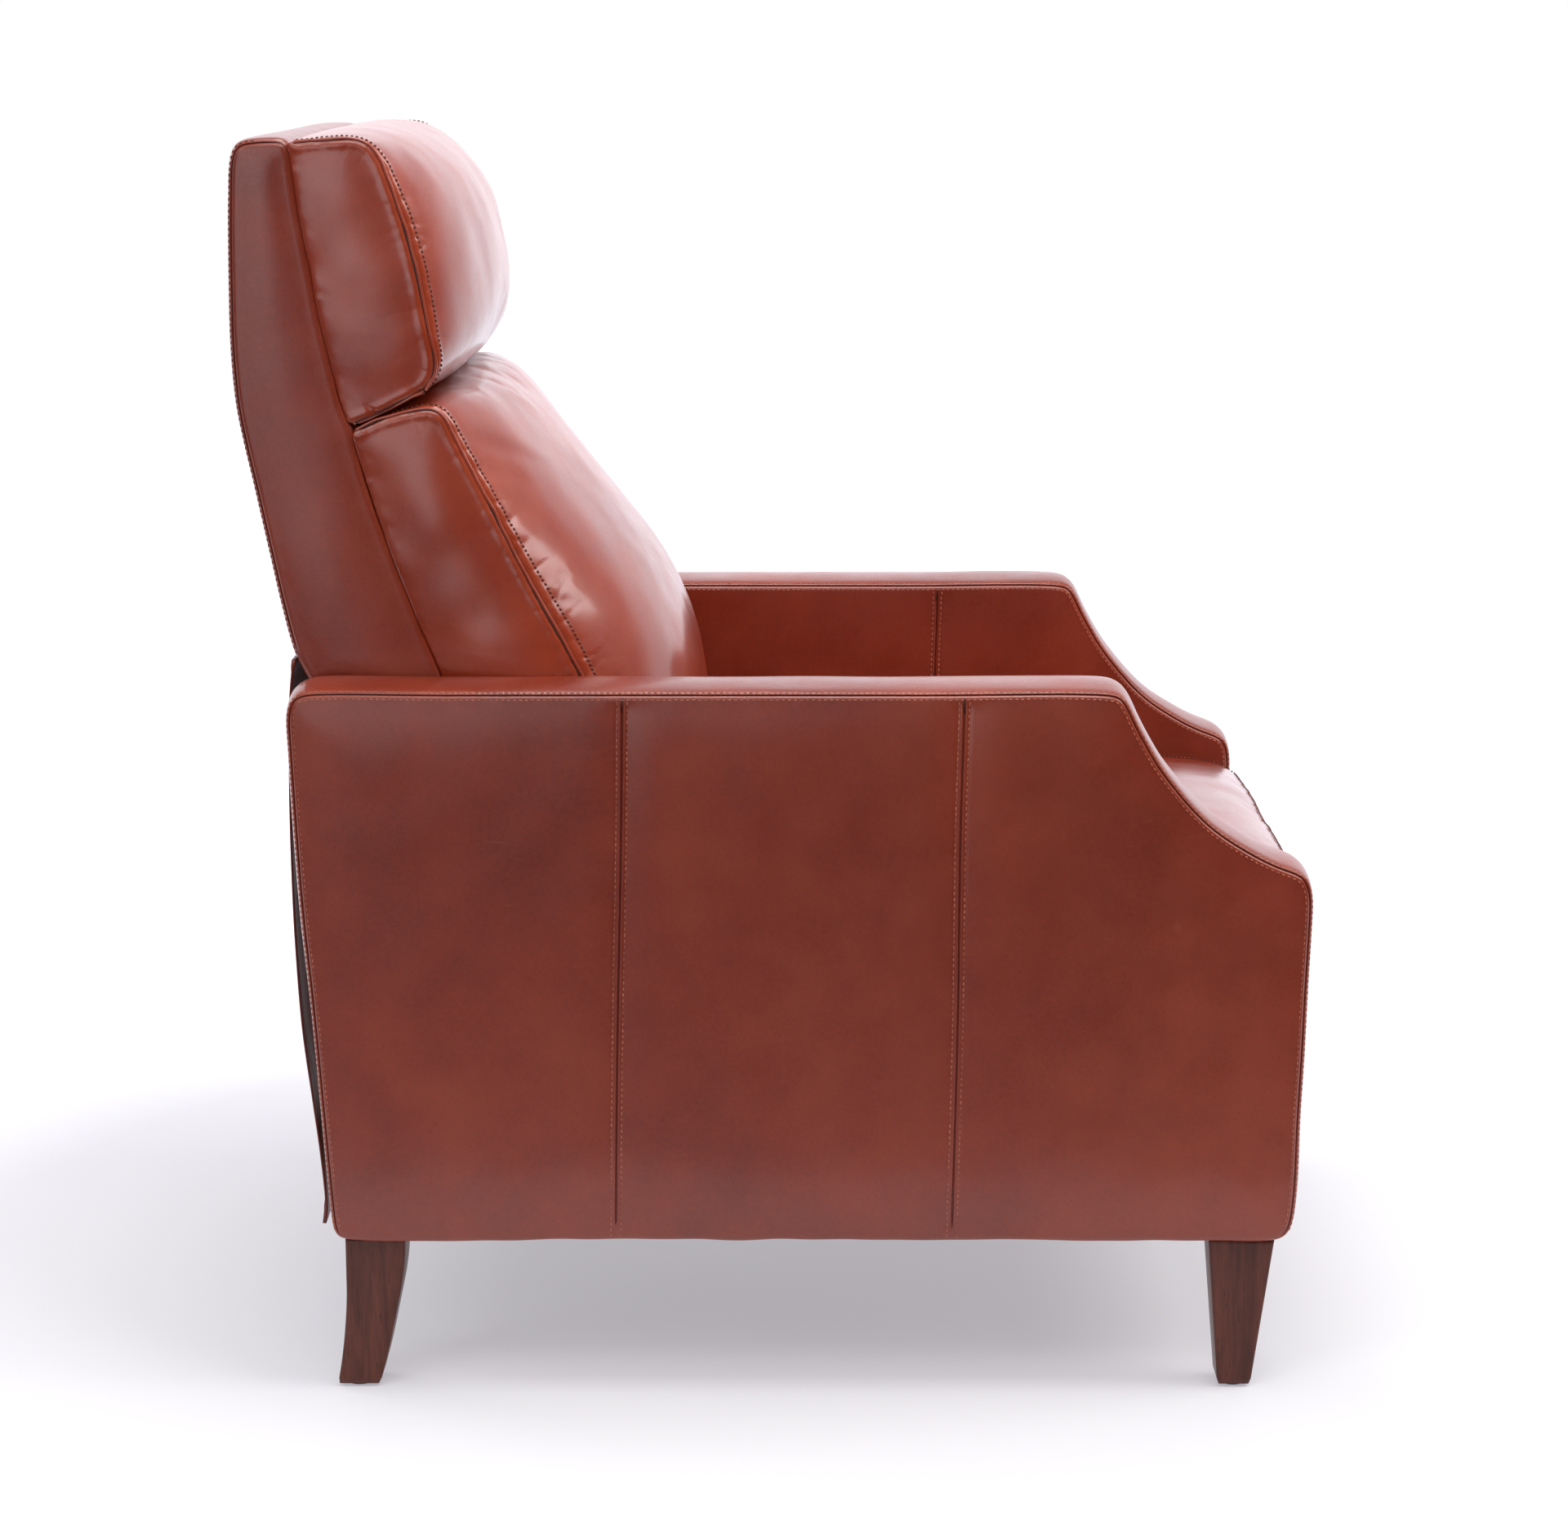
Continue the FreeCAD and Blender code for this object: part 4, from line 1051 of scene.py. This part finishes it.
# head cushion ---------------------------------------------------------------
HEAD_FE = [(-428, 1074), (-402, 1076), (-375, 1077.5), (-364, 1073), (-354, 1059), (-345, 1034), (-335, 1004), (-326, 970), (-320, 938),
           (-315, 910), (-311, 893), (-311, 877), (-318, 864), (-345, 849), (-384, 831)]
HEAD_FM = [(-427, 1076), (-408, 1082), (-376, 1084.5), (-346, 1079), (-324, 1066), (-302, 1044), (-287, 1020), (-277, 987), (-271, 953),
           (-270, 923), (-274, 900), (-284, 884), (-300, 873), (-340, 856), (-383, 838)]
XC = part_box("head_cushion")[1].x * 1000 - 1.0
head_back = [(front_at(z) - 2.5, z) for z in np.linspace(832, 1073, 24)]
head = Cushion("head_cushion_cover", head_back, HEAD_FE, HEAD_FM, XC, nb=26, nf=46, nx=64, p=2.8, q=0.60, side_puff=3.0)
# lumbar cushion -------------------------------------------------------------
LUM_FE = [(-383, 831), (-362, 841), (-340, 847), (-317, 850), (-306, 844), (-296, 826), (-283, 800), (-269, 773), (-242, 718), (-222, 679),
          (-203, 645), (-186, 610), (-172, 575), (-162, 535), (-159, 500), (-161, 466), (-170, 438), (-190, 424), (-224, 430)]
LUM_FM = [(-380, 830), (-350, 848), (-322, 861), (-296, 868), (-275, 861), (-245, 832), (-215, 794), (-185, 756), (-154, 718), (-124, 679),
          (-105, 641), (-94, 606), (-88, 572), (-84, 530), (-84, 492), (-91, 454), (-112, 434), (-150, 427), (-224, 430)]
lum_back = [(front_at(z) - 2.5, z) for z in np.linspace(448, 830, 34)]
lumbar = Cushion("lumbar_cushion_cover", lum_back, LUM_FE, LUM_FM, XC, nb=40, nf=84, nx=64, p=2.6, q=0.62, side_puff=3.0)

for cu, body, seed, caps, node in ((head, "back", 2.0, 0.010, "head_cushion"), (lumbar, "back", 5.0, 0.012, "lumbar_cushion")):
    ob = cu.ob
    ob.data.update()
    nor = np.zeros(len(ob.data.vertices) * 3, np.float32)
    ob.data.vertices.foreach_get("normal", nor)
    co = np.array([v.co for v in ob.data.vertices])
    sp = [cu.front_path(u) for u in (-1.0, 1.0)]
    kd = KDTree(sum(len(a) for a in sp))
    i = 0
    for a in sp:
        for q in a:
            kd.insert(Vector(q), i)
            i += 1
    kd.balance()
    f = -co[:, 1] * 1000 - FC
    lines = np.array([front_at(z) for z in co[:, 2] * 1000])
    near_back = np.clip((lines + 12 - f) / 8.0, 0, 1)
    pin = np.array([max(0.95 * math.exp(-(kd.find(Vector(q))[2] / 0.006) ** 2), near_back[k]) for k, q in enumerate(co)])
    co = co - nor.reshape(-1, 3) * 0.004 * (1 - pin)[:, None]
    ob.data.vertices.foreach_set("co", co.astype(np.float32).ravel())
    inflate(ob, 4.0, caps, 20, pin)
    smooth_sides(ob, cu.X, kd)
    subdivide(ob, 2)
    clamp_inside(ob, xmax=0.2712, back=lambda z: front_at(z) - 3.0)
    undulate(ob, 1.8, 11.0, seed)
    hi = 1.0 if node == "head_cushion" else 0.86
    paths = [cu.front_path(u, 0.0, hi) for u in (-1.0, 1.0)]
    bvh0 = bvh_of(ob)
    paths = [project(p, bvh0)[0] for p in paths]
    seam_shape(ob, paths, seed=seed, pucker=0.9, xside=cu.X)
    clamp_inside(ob, xmax=0.2716, back=lambda z: front_at(z) - 3.0)
    ob.data.materials.clear()
    ob.data.materials.append(mat_cush)
    bvh0 = bvh_of(ob)
    for u in (-1.0, 1.0):
        seam = cu.front_path(u, 0.0, hi)
        st = cu.front_path(u * 0.985, 0.0, hi, x=u * (cu.X - 5.6))
        c = crown(0.985, cu.p, cu.q)
        inner = cu.fe + c * (cu.fm - cu.fe)
        # the dark line is a painted shadow tube on the boxing, just behind the rolled edge
        ctr = cu.fe.mean(0)
        dl = cu.fe + (ctr - cu.fe) / np.linalg.norm(ctr - cu.fe, axis=1)[:, None] * 1.9
        dl = dl[: int(hi * (cu.nf - 1)) + 1]
        seam_trim(welt[body], seam_shadow_tubes[body], thread[body], bvh0, seam, st, 1.5, arr(dl[:, 0], dl[:, 1], u * (cu.X + 0.6)))
    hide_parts(node)
    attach(ob, body)

# seat cushion ---------------------------------------------------------------
SL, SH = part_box("seat_cushion")
XS = SH.x * 1000 - 1.0
SEAT_FE = [(-168, 402), (-138, 411), (-80, 415), (0, 422), (100, 430), (200, 437), (300, 442), (360, 442.5), (403, 439), (426, 433), (438, 423.5),
           (443, 410), (444, 390), (438, 372), (424, 360), (395, 355), (200, 354), (0, 354), (-163, 354)]
SEAT_FM = [(-170, 415), (-140, 426), (-80, 432), (0, 436), (100, 444), (200, 451), (300, 455), (360, 454), (405, 449), (430, 440.5), (442, 427),
           (447.5, 410), (448, 389), (441, 371), (426, 359), (395, 354), (200, 354), (0, 354), (-163, 354)]


class SeatCushion(Cushion):
    pass


seat_back = [(-166, 356), (-171, 375), (-170, 398)]
seat = Cushion("seat_cushion_cover", seat_back, SEAT_FE, SEAT_FM, XS, nb=12, nf=150, nx=50, p=3.4, q=0.55, side_puff=1.5)
ob = seat.ob
ob.data.update()
co = np.array([v.co for v in ob.data.vertices])
sp = [seat.front_path(u) for u in (-1.0, 1.0)]
ftop = [arr([438.0] * 60, [419.0] * 60, np.linspace(-XS, XS, 60))]
allp = np.vstack(sp + ftop)
kd = KDTree(len(allp))
for i, q in enumerate(allp):
    kd.insert(Vector(q), i)
kd.balance()
pin = np.array([max(0.9 * math.exp(-(kd.find(Vector(q))[2] / 0.007) ** 2), 1.0 if q[2] < 0.360 else 0.0) for q in co])
inflate(ob, 3.0, 0.008, 16, pin)
subdivide(ob, 2)
clamp_inside(ob, xmax=0.2712, zmin=0.3505)
undulate(ob, 1.1, 12.0, 3.3)
# top panel seam: down each side and across the front edge
mid_front = seat.fe + crown(0.0, seat.p, seat.q) * (seat.fm - seat.fe)


def seat_front_pt(u):
    c = crown(u, seat.p, seat.q)
    f = seat.fe + c * (seat.fm - seat.fe)
    k = int(np.argmin(np.abs(f[:, 0] - 441) + (f[:, 1] < 405) * 100))
    return f[k]


ti = int(np.argmin(np.abs(seat.fe[:, 0] - 434) + (seat.fe[:, 1] < 405) * 100)) / (seat.nf - 1)
loop_pts = []
for u in np.linspace(-0.97, 0.97, 70):
    q = seat_front_pt(u)
    loop_pts.append(P(q[0], q[1], u * XS))
left = seat.front_path(1.0, 0.02, ti)
right = seat.front_path(-1.0, 0.02, ti)
loop3d = np.vstack([right, np.array([tuple(v) for v in loop_pts]), left[::-1]])
loop3d = resample(loop3d, step=0.004)
bvh0 = bvh_of(ob)
pp, _ = project(loop3d, bvh0)
seam_shape(ob, [pp], seed=4.4, pucker=0.7, depth=1.6, width=2.8)
ob.data.materials.clear()
ob.data.materials.append(mat_seat)
bvh0 = bvh_of(ob)
inner = loop3d.copy()
inner[:, 0] -= np.sign(inner[:, 0]) * np.clip((np.abs(inner[:, 0]) - 0.245) / 0.02, 0, 1) * 0.006
inner[:, 1] += 0.006 * np.clip((-(inner[:, 1]) * 1000 - FC - 425) / 10, 0, 1)
inner[:, 2] += 0.004
seam_trim(welt["seat_carriage"], seam_shadow_tubes["seat_carriage"], thread["seat_carriage"], bvh0, loop3d, inner, 1.2, None)
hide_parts("seat_cushion")
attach(ob, "seat_carriage")

# footrest pad ---------------------------------------------------------------
FL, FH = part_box("footrest_pad")
zf0, zf1 = FL.z * 1000, FH.z * 1000
ff0 = -(FH.y * 1000) - FC
XF = FH.x * 1000 - 1.0
F_FE = [(ff0 + 0.5, zf1 - 4), (ff0 + 14, zf1 - 2.5), (ff0 + 24, zf1 - 5), (ff0 + 29, zf1 - 12), (ff0 + 30, zf1 - 40), (ff0 + 30, (zf0 + zf1) / 2),
        (ff0 + 30, zf0 + 40), (ff0 + 29, zf0 + 12), (ff0 + 24, zf0 + 5), (ff0 + 14, zf0 + 2.5), (ff0 + 0.5, zf0 + 4)]
F_FM = [(ff0 + 0.5, zf1 - 3), (ff0 + 15, zf1 - 0.5), (ff0 + 27, zf1 - 3), (ff0 + 34, zf1 - 11), (ff0 + 38, zf1 - 40), (ff0 + 39, (zf0 + zf1) / 2),
        (ff0 + 38, zf0 + 40), (ff0 + 34, zf0 + 11), (ff0 + 27, zf0 + 3), (ff0 + 15, zf0 + 0.5), (ff0 + 0.5, zf0 + 3)]
f_back = [(ff0 + 0.3, zf0 + 4), (ff0 + 0.3, (zf0 + zf1) / 2), (ff0 + 0.3, zf1 - 4)]
foot = Cushion("footrest_pad_cover", f_back, F_FE, F_FM, XF, nb=24, nf=80, nx=60, p=4.5, q=0.5, side_puff=1.0)
ob = foot.ob
co = np.array([v.co for v in ob.data.vertices])
pin = np.array([1.0 if (-q[1] * 1000 - FC) < ff0 + 6 else 0.0 for q in co])
inflate(ob, 3.0, 0.004, 12, pin)
subdivide(ob, 2)
clamp_inside(ob, xmax=0.2705, back=lambda z: ff0 + 0.2)
undulate(ob, 0.8, 14.0, 6.1)
lo_i, hi_i = 0.20, 0.80
rows3 = []
fe_top = foot.fe[int(0.155 * (foot.nf - 1))]
fe_bot = foot.fe[int(0.845 * (foot.nf - 1))]
loopf = []
for u in np.linspace(-0.985, 0.985, 90):
    c = crown(u, foot.p, foot.q)
    f = foot.fe + c * (foot.fm - foot.fe)
    loopf.append(P(*f[int(0.155 * (foot.nf - 1))], u * XF))
a, b = int(0.155 * (foot.nf - 1)), int(0.845 * (foot.nf - 1))
for i in range(a, b + 1):
    loopf.append(P(*foot.fe[i], XF))
for u in np.linspace(0.985, -0.985, 90):
    c = crown(u, foot.p, foot.q)
    f = foot.fe + c * (foot.fm - foot.fe)
    loopf.append(P(*f[b], u * XF))
for i in range(b, a - 1, -1):
    loopf.append(P(*foot.fe[i], -XF))
loopf = resample(np.array([tuple(v) for v in loopf]), step=0.004)
bvh0 = bvh_of(ob)
pp, _ = project(loopf, bvh0)
seam_shape(ob, [pp], seed=9.4, pucker=0.6, depth=1.4, width=2.6)
ob.data.materials.clear()
ob.data.materials.append(mat_seat)
bvh0 = bvh_of(ob)
ctr = loopf.mean(0)
inn = loopf.copy()
inn[:, 0] -= np.sign(inn[:, 0]) * 0.006 * (np.abs(inn[:, 0]) > 0.25)
zc = (zf0 + zf1) / 2000
inn[:, 2] -= np.sign(inn[:, 2] - zc) * 0.006 * (np.abs(inn[:, 2] - zc) > 0.07)
inn[:, 1] -= 0.004
seam_trim(welt["footrest"], seam_shadow_tubes["footrest"], thread["footrest"], bvh0, loopf, inn, 1.5, None)
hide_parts("footrest_pad")
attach(ob, "footrest")

# ----------------------------------------------------------------- rear skirt
KL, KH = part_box("rear_skirt")
SK = [(-440.0, 631), (-442.5, 615), (-445, 590), (-447.5, 528), (-448.5, 455), (-447.5, 381), (-443, 306), (-434.5, 239), (-428, 185), (-424.5, 140), (-426, 124)]
XK = KH.x * 1000
sk = resample(catmull(SK, False, 6), n=90)
t2 = np.gradient(sk, axis=0)
t2 /= np.linalg.norm(t2, axis=1)[:, None]
kn = np.stack([-t2[:, 1], t2[:, 0]], 1)
if kn[0, 0] > 0:
    kn = -kn
verts, faces = [], []
nxk = 80
TH = 1.6
for layer in (0, 1):
    for i in range(len(sk)):
        v01 = i / (len(sk) - 1)
        for k in range(nxk + 1):
            u = -1 + 2 * k / nxk
            env = math.sin(math.pi * min(1, v01 * 1.0)) ** 0.8 if v01 < 1 else 0
            w = 2.2 * env * (noise.noise(Vector((u * 3.1, v01 * 1.3, 4.0))) + 0.5 * noise.noise(Vector((u * 7.0, v01 * 2.6, 9.0))))
            w += 1.0 * v01 * math.sin(u * 9.0 + 1.0)
            w += -1.6 * env * (abs(u) ** 8)
            hem = 0.8 if (v01 > 0.965 or v01 < 0.02) else 0.0
            off = w + (hem if layer == 0 else -TH - hem)
            q = sk[i] + kn[i] * off
            verts.append(P(q[0], q[1], u * (XK - 0.5)))
M = (nxk + 1)
L0 = len(sk) * M
for i in range(len(sk) - 1):
    for k in range(nxk):
        a0 = i * M + k
        faces.append((a0, a0 + 1, a0 + M + 1, a0 + M))
        faces.append((L0 + a0, L0 + a0 + M, L0 + a0 + M + 1, L0 + a0 + 1))
for i in range(len(sk) - 1):
    for k in (0, nxk):
        a0 = i * M + k
        q = (a0, a0 + M, L0 + a0 + M, L0 + a0)
        faces.append(q if k == 0 else q[::-1])
for k in range(nxk):
    for i in (0, len(sk) - 1):
        a0 = i * M + k
        q = (a0, a0 + 1, L0 + a0 + 1, L0 + a0)
        faces.append(q if i else q[::-1])
skirt = new_obj("rear_skirt_leather", verts, faces, mat_skirt)
fix_keep(skirt)
set_attr(skirt, "edge_wear_and_highlight", [0.0] * len(skirt.data.vertices))
set_attr(skirt, "seam", [0.0] * len(skirt.data.vertices))
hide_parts("rear_skirt")
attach(skirt, "base")
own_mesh(skirt)

# ------------------------------------------------------------------------ legs
for end in ("rear", "front"):
    for side, s in (("left", 1.0), ("right", -1.0)):
        node = "leg_%s_%s" % (end, side)
        lo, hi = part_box(node)
        if end == "rear":
            rearl = catmull([(-396, 137.5), (-396, 110), (-396.2, 83), (-397, 68), (-399, 46), (-402, 23), (-405.5, 3)], False, 6)
            front = catmull([(-343.5, 137.5), (-344.6, 118), (-347, 98), (-353, 68), (-361, 31), (-368.5, 3)], False, 6)
        else:
            rearl = np.array([(352, 137.5), (363, 3)], float)
            front = np.array([(409.5, 137.5), (392, 3)], float)
        zs = np.linspace(137.3, 3.0, 28)
        rf = np.interp(zs, rearl[::-1, 1], rearl[::-1, 0])
        ff = np.interp(zs, front[::-1, 1], front[::-1, 0])
        xin_t, xout_t = 298.0, 346.0
        xin_b, xout_b = (302.0, 342.0) if end == "rear" else (304.0, 340.0)
        verts, faces = [], []
        b = 2.6
        cs = []
        for i, z in enumerate(zs):
            t = (137.5 - z) / 137.5
            xa, xb = xin_t + (xin_b - xin_t) * t, xout_t + (xout_b - xout_t) * t
            shrink = 1.2 if i == len(zs) - 1 else 0.0
            pts = []
            for (cx, cz, a0) in ((xb - b, ff[i] - b, 0), (xb - b, rf[i] + b, 90), (xa + b, rf[i] + b, 180), (xa + b, ff[i] - b, 270)):
                for k in range(5):
                    a = math.radians(a0 + k * 22.5)
                    # quarter turns: +x/+f, +x/-f, -x/-f, -x/+f
                    ux, uf = {0: (math.sin(a), math.cos(a)), 90: (math.sin(a), math.cos(a)), 180: (math.sin(a), math.cos(a)), 270: (math.sin(a), math.cos(a))}[a0]
                    pts.append((cx + ux * (b - shrink), cz + uf * (b - shrink)))
            cs.append(pts)
        n = len(cs[0])
        for i, z in enumerate(zs):
            for (x, f) in cs[i]:
                verts.append(P(f, z, s * x))
        for i in range(len(zs) - 1):
            for k in range(n):
                k2 = (k + 1) % n
                faces.append((i * n + k, i * n + k2, (i + 1) * n + k2, (i + 1) * n + k))
        faces.append(tuple(range(n)))
        faces.append(tuple((len(zs) - 1) * n + k for k in range(n))[::-1])
        lg = new_obj("leg_%s_%s_turned" % (end, side), verts, faces, mat_leg)
        fix_keep(lg)
        # flat ends, smooth sides
        for p in lg.data.polygons:
            if len(p.vertices) > 4:
                p.use_smooth = False
        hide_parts(node)
        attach(lg, "base")

# ------------------------------------------------------- trim: thread and welts
for body, bt in thread.items():
    if bt.v:
        o = bt.make("thread_" + body, mat_thread if body == "base" else mat_thread_dark)
        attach(o, body)
for body, bt in welt.items():
    if bt.v:
        o = bt.make("welt_" + body, mat_cush)
        # the welts are lightened all along: part wear, part painted highlight
        set_attr(o, "edge_wear_and_highlight", [0.35] * len(o.data.vertices))
        set_attr(o, "seam", [0.0] * len(o.data.vertices))
        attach(o, body)
# the painted seam shadow tubes
for body, bt in seam_shadow_tubes.items():
    if bt.v:
        o = bt.make("seam_shadow_line_" + body, mat_seam_shadow)
        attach(o, body)

# --------------------------------------------------------------- floor, lights
me = bpy.data.meshes.new("floor")
R = 12.0
me.from_pydata([(-0.95, -R, 0), (R, -R, 0), (R, R, 0), (-0.95, R, 0)], [], [(0, 1, 2, 3)])
floor = bpy.data.objects.new("floor", me)
bpy.context.scene.collection.objects.link(floor)
mf = Nodes("floor_white_self_lit")
cf = mf.ramp(mf.noise(1.3, 2, 0.5), [(0.3, (0.49, 0.49, 0.495)), (0.7, (0.51, 0.51, 0.515))])
mf.link(cf, mf.bsdf.inputs["Base Color"])
mf.bsdf.inputs["Roughness"].default_value = 0.7
# the floor glows as painted light: lavender emission of 0.40 near the chair lifts the shadow under it, rising to 1.1
# further out
mf.bsdf.inputs["Emission Color"].default_value = (0.93, 0.92, 1.0, 1)
ln = mf.add("ShaderNodeVectorMath", operation="LENGTH")
mf.link(mf.tc.outputs["Object"], ln.inputs[0])
mf.link(mf.fmap(ln.outputs["Value"], 0.82, 1.8, 0.40, 1.1), mf.bsdf.inputs["Emission Strength"])
mf.bsdf.inputs["Specular IOR Level"].default_value = 0.2
me.materials.append(mf.mat)
floor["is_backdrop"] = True

bpy.context.scene.view_settings.view_transform = "Standard"
world = bpy.data.worlds.new("studio")
bpy.context.scene.world = world
world.use_nodes = True
wt = world.node_tree
wt.nodes.clear()


def wn(kind, **kw):
    n = wt.nodes.new(kind)
    for k, v in kw.items():
        setattr(n, k, v)
    return n


def wramp(src, stops):
    r = wn("ShaderNodeValToRGB")
    e = r.color_ramp.elements
    while len(e) < len(stops):
        e.new(0.5)
    for i, (p, v) in enumerate(stops):
        e[i].position = p
        e[i].color = (v, v, v, 1)
    m = wn("ShaderNodeMapRange")
    m.inputs[1].default_value, m.inputs[2].default_value = -1.0, 1.0
    wt.links.new(src, m.inputs[0])
    wt.links.new(m.outputs[0], r.inputs[0])
    return r.outputs[0]


# a white studio: bright overhead and on the far side, dim on the near side
wtc = wn("ShaderNodeTexCoord")
wsep = wn("ShaderNodeSeparateXYZ")
wt.links.new(wtc.outputs["Generated"], wsep.inputs[0])
sidev = wramp(wsep.outputs["X"], [(0.0, 0.05), (0.45, 0.08), (0.66, 0.22), (0.86, 1.15), (1.0, 1.4)])
topv = wramp(wsep.outputs["Z"], [(0.0, 0.0), (0.60, 0.0), (0.85, 0.22), (1.0, 0.5)])
vert = wramp(wsep.outputs["Z"], [(0.0, 1.0), (0.63, 1.0), (0.74, 0.38), (1.0, 0.3)])
wadd = wn("ShaderNodeMix", data_type="RGBA", blend_type="ADD")
wadd.inputs[0].default_value = 1.0
wmul = wn("ShaderNodeMix", data_type="RGBA", blend_type="MULTIPLY")
wmul.inputs[0].default_value = 1.0
wt.links.new(sidev, wmul.inputs[6])
wt.links.new(vert, wmul.inputs[7])
wt.links.new(wmul.outputs[2], wadd.inputs[6])
wt.links.new(topv, wadd.inputs[7])
b1 = wn("ShaderNodeBackground")
b1.inputs[1].default_value = 1.0
wdot = wn("ShaderNodeVectorMath", operation="DOT_PRODUCT")
wdir = Vector((-0.97, 0.24, 0.06)).normalized()
wdot.inputs[1].default_value = tuple(wdir)
wt.links.new(wtc.outputs["Generated"], wdot.inputs[0])
wglow = wn("ShaderNodeMapRange", interpolation_type="SMOOTHSTEP")
for i, v in enumerate((0.955, 1.0, 0.0, 2.5)):
    wglow.inputs[i + 1].default_value = v
wt.links.new(wdot.outputs["Value"], wglow.inputs[0])
wadd2 = wn("ShaderNodeMix", data_type="RGBA", blend_type="ADD")
wadd2.inputs[0].default_value = 1.0
wt.links.new(wadd.outputs[2], wadd2.inputs[6])
wt.links.new(wglow.outputs[0], wadd2.inputs[7])
wtint = wn("ShaderNodeMix", data_type="RGBA", blend_type="MULTIPLY")
wtint.inputs[0].default_value = 1.0
wtint.inputs[7].default_value = (0.955, 0.94, 1.0, 1)
wt.links.new(wadd2.outputs[2], wtint.inputs[6])
wt.links.new(wtint.outputs[2], b1.inputs[0])
b2 = wn("ShaderNodeBackground")
b2.inputs[0].default_value = (1, 1, 1, 1)
b2.inputs[1].default_value = 1.0
lp = wn("ShaderNodeLightPath")
mx = wn("ShaderNodeMixShader")
wt.links.new(lp.outputs["Is Camera Ray"], mx.inputs[0])
wt.links.new(b1.outputs[0], mx.inputs[1])
wt.links.new(b2.outputs[0], mx.inputs[2])
wo = wn("ShaderNodeOutputWorld")
wt.links.new(mx.outputs[0], wo.inputs[0])


def area_light(name, loc, target, size, power, color=(1, 1, 1), size_y=None):
    d = bpy.data.lights.new(name, "AREA")
    d.shape = "RECTANGLE"
    d.size = size
    d.size_y = size_y or size
    d.energy = power
    d.color = color
    o = bpy.data.objects.new(name, d)
    bpy.context.scene.collection.objects.link(o)
    o.location = loc
    o.rotation_mode = "QUATERNION"
    o.rotation_quaternion = (Vector(target) - Vector(loc)).to_track_quat("-Z", "Y")
    return o


area_light("key_top", (-0.35, -0.2, 3.2), (-0.1, 0, 0.4), 0.7, 62, (1, 0.995, 0.99), 2.8)
area_light("near_top", (-2.4, 0.1, 3.3), (-0.3, 0, 0.5), 2.2, 30, (1, 0.985, 0.97), 1.2)
area_light("front_box", (-0.3, -2.7, 3.0), (0, 0, 0.6), 1.8, 62, (1.0, 0.99, 0.98))
area_light("side_box", (-2.7, 2.3, 2.6), (0, 0.2, 0.8), 1.6, 26, (1.0, 0.99, 0.98), 1.6)
area_light("back_rim", (1.4, 3.0, 1.9), (0, 0, 0.7), 1.8, 30, (0.98, 0.98, 1.0))

# ------------------------------------------------------------------------ size
lo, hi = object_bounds()
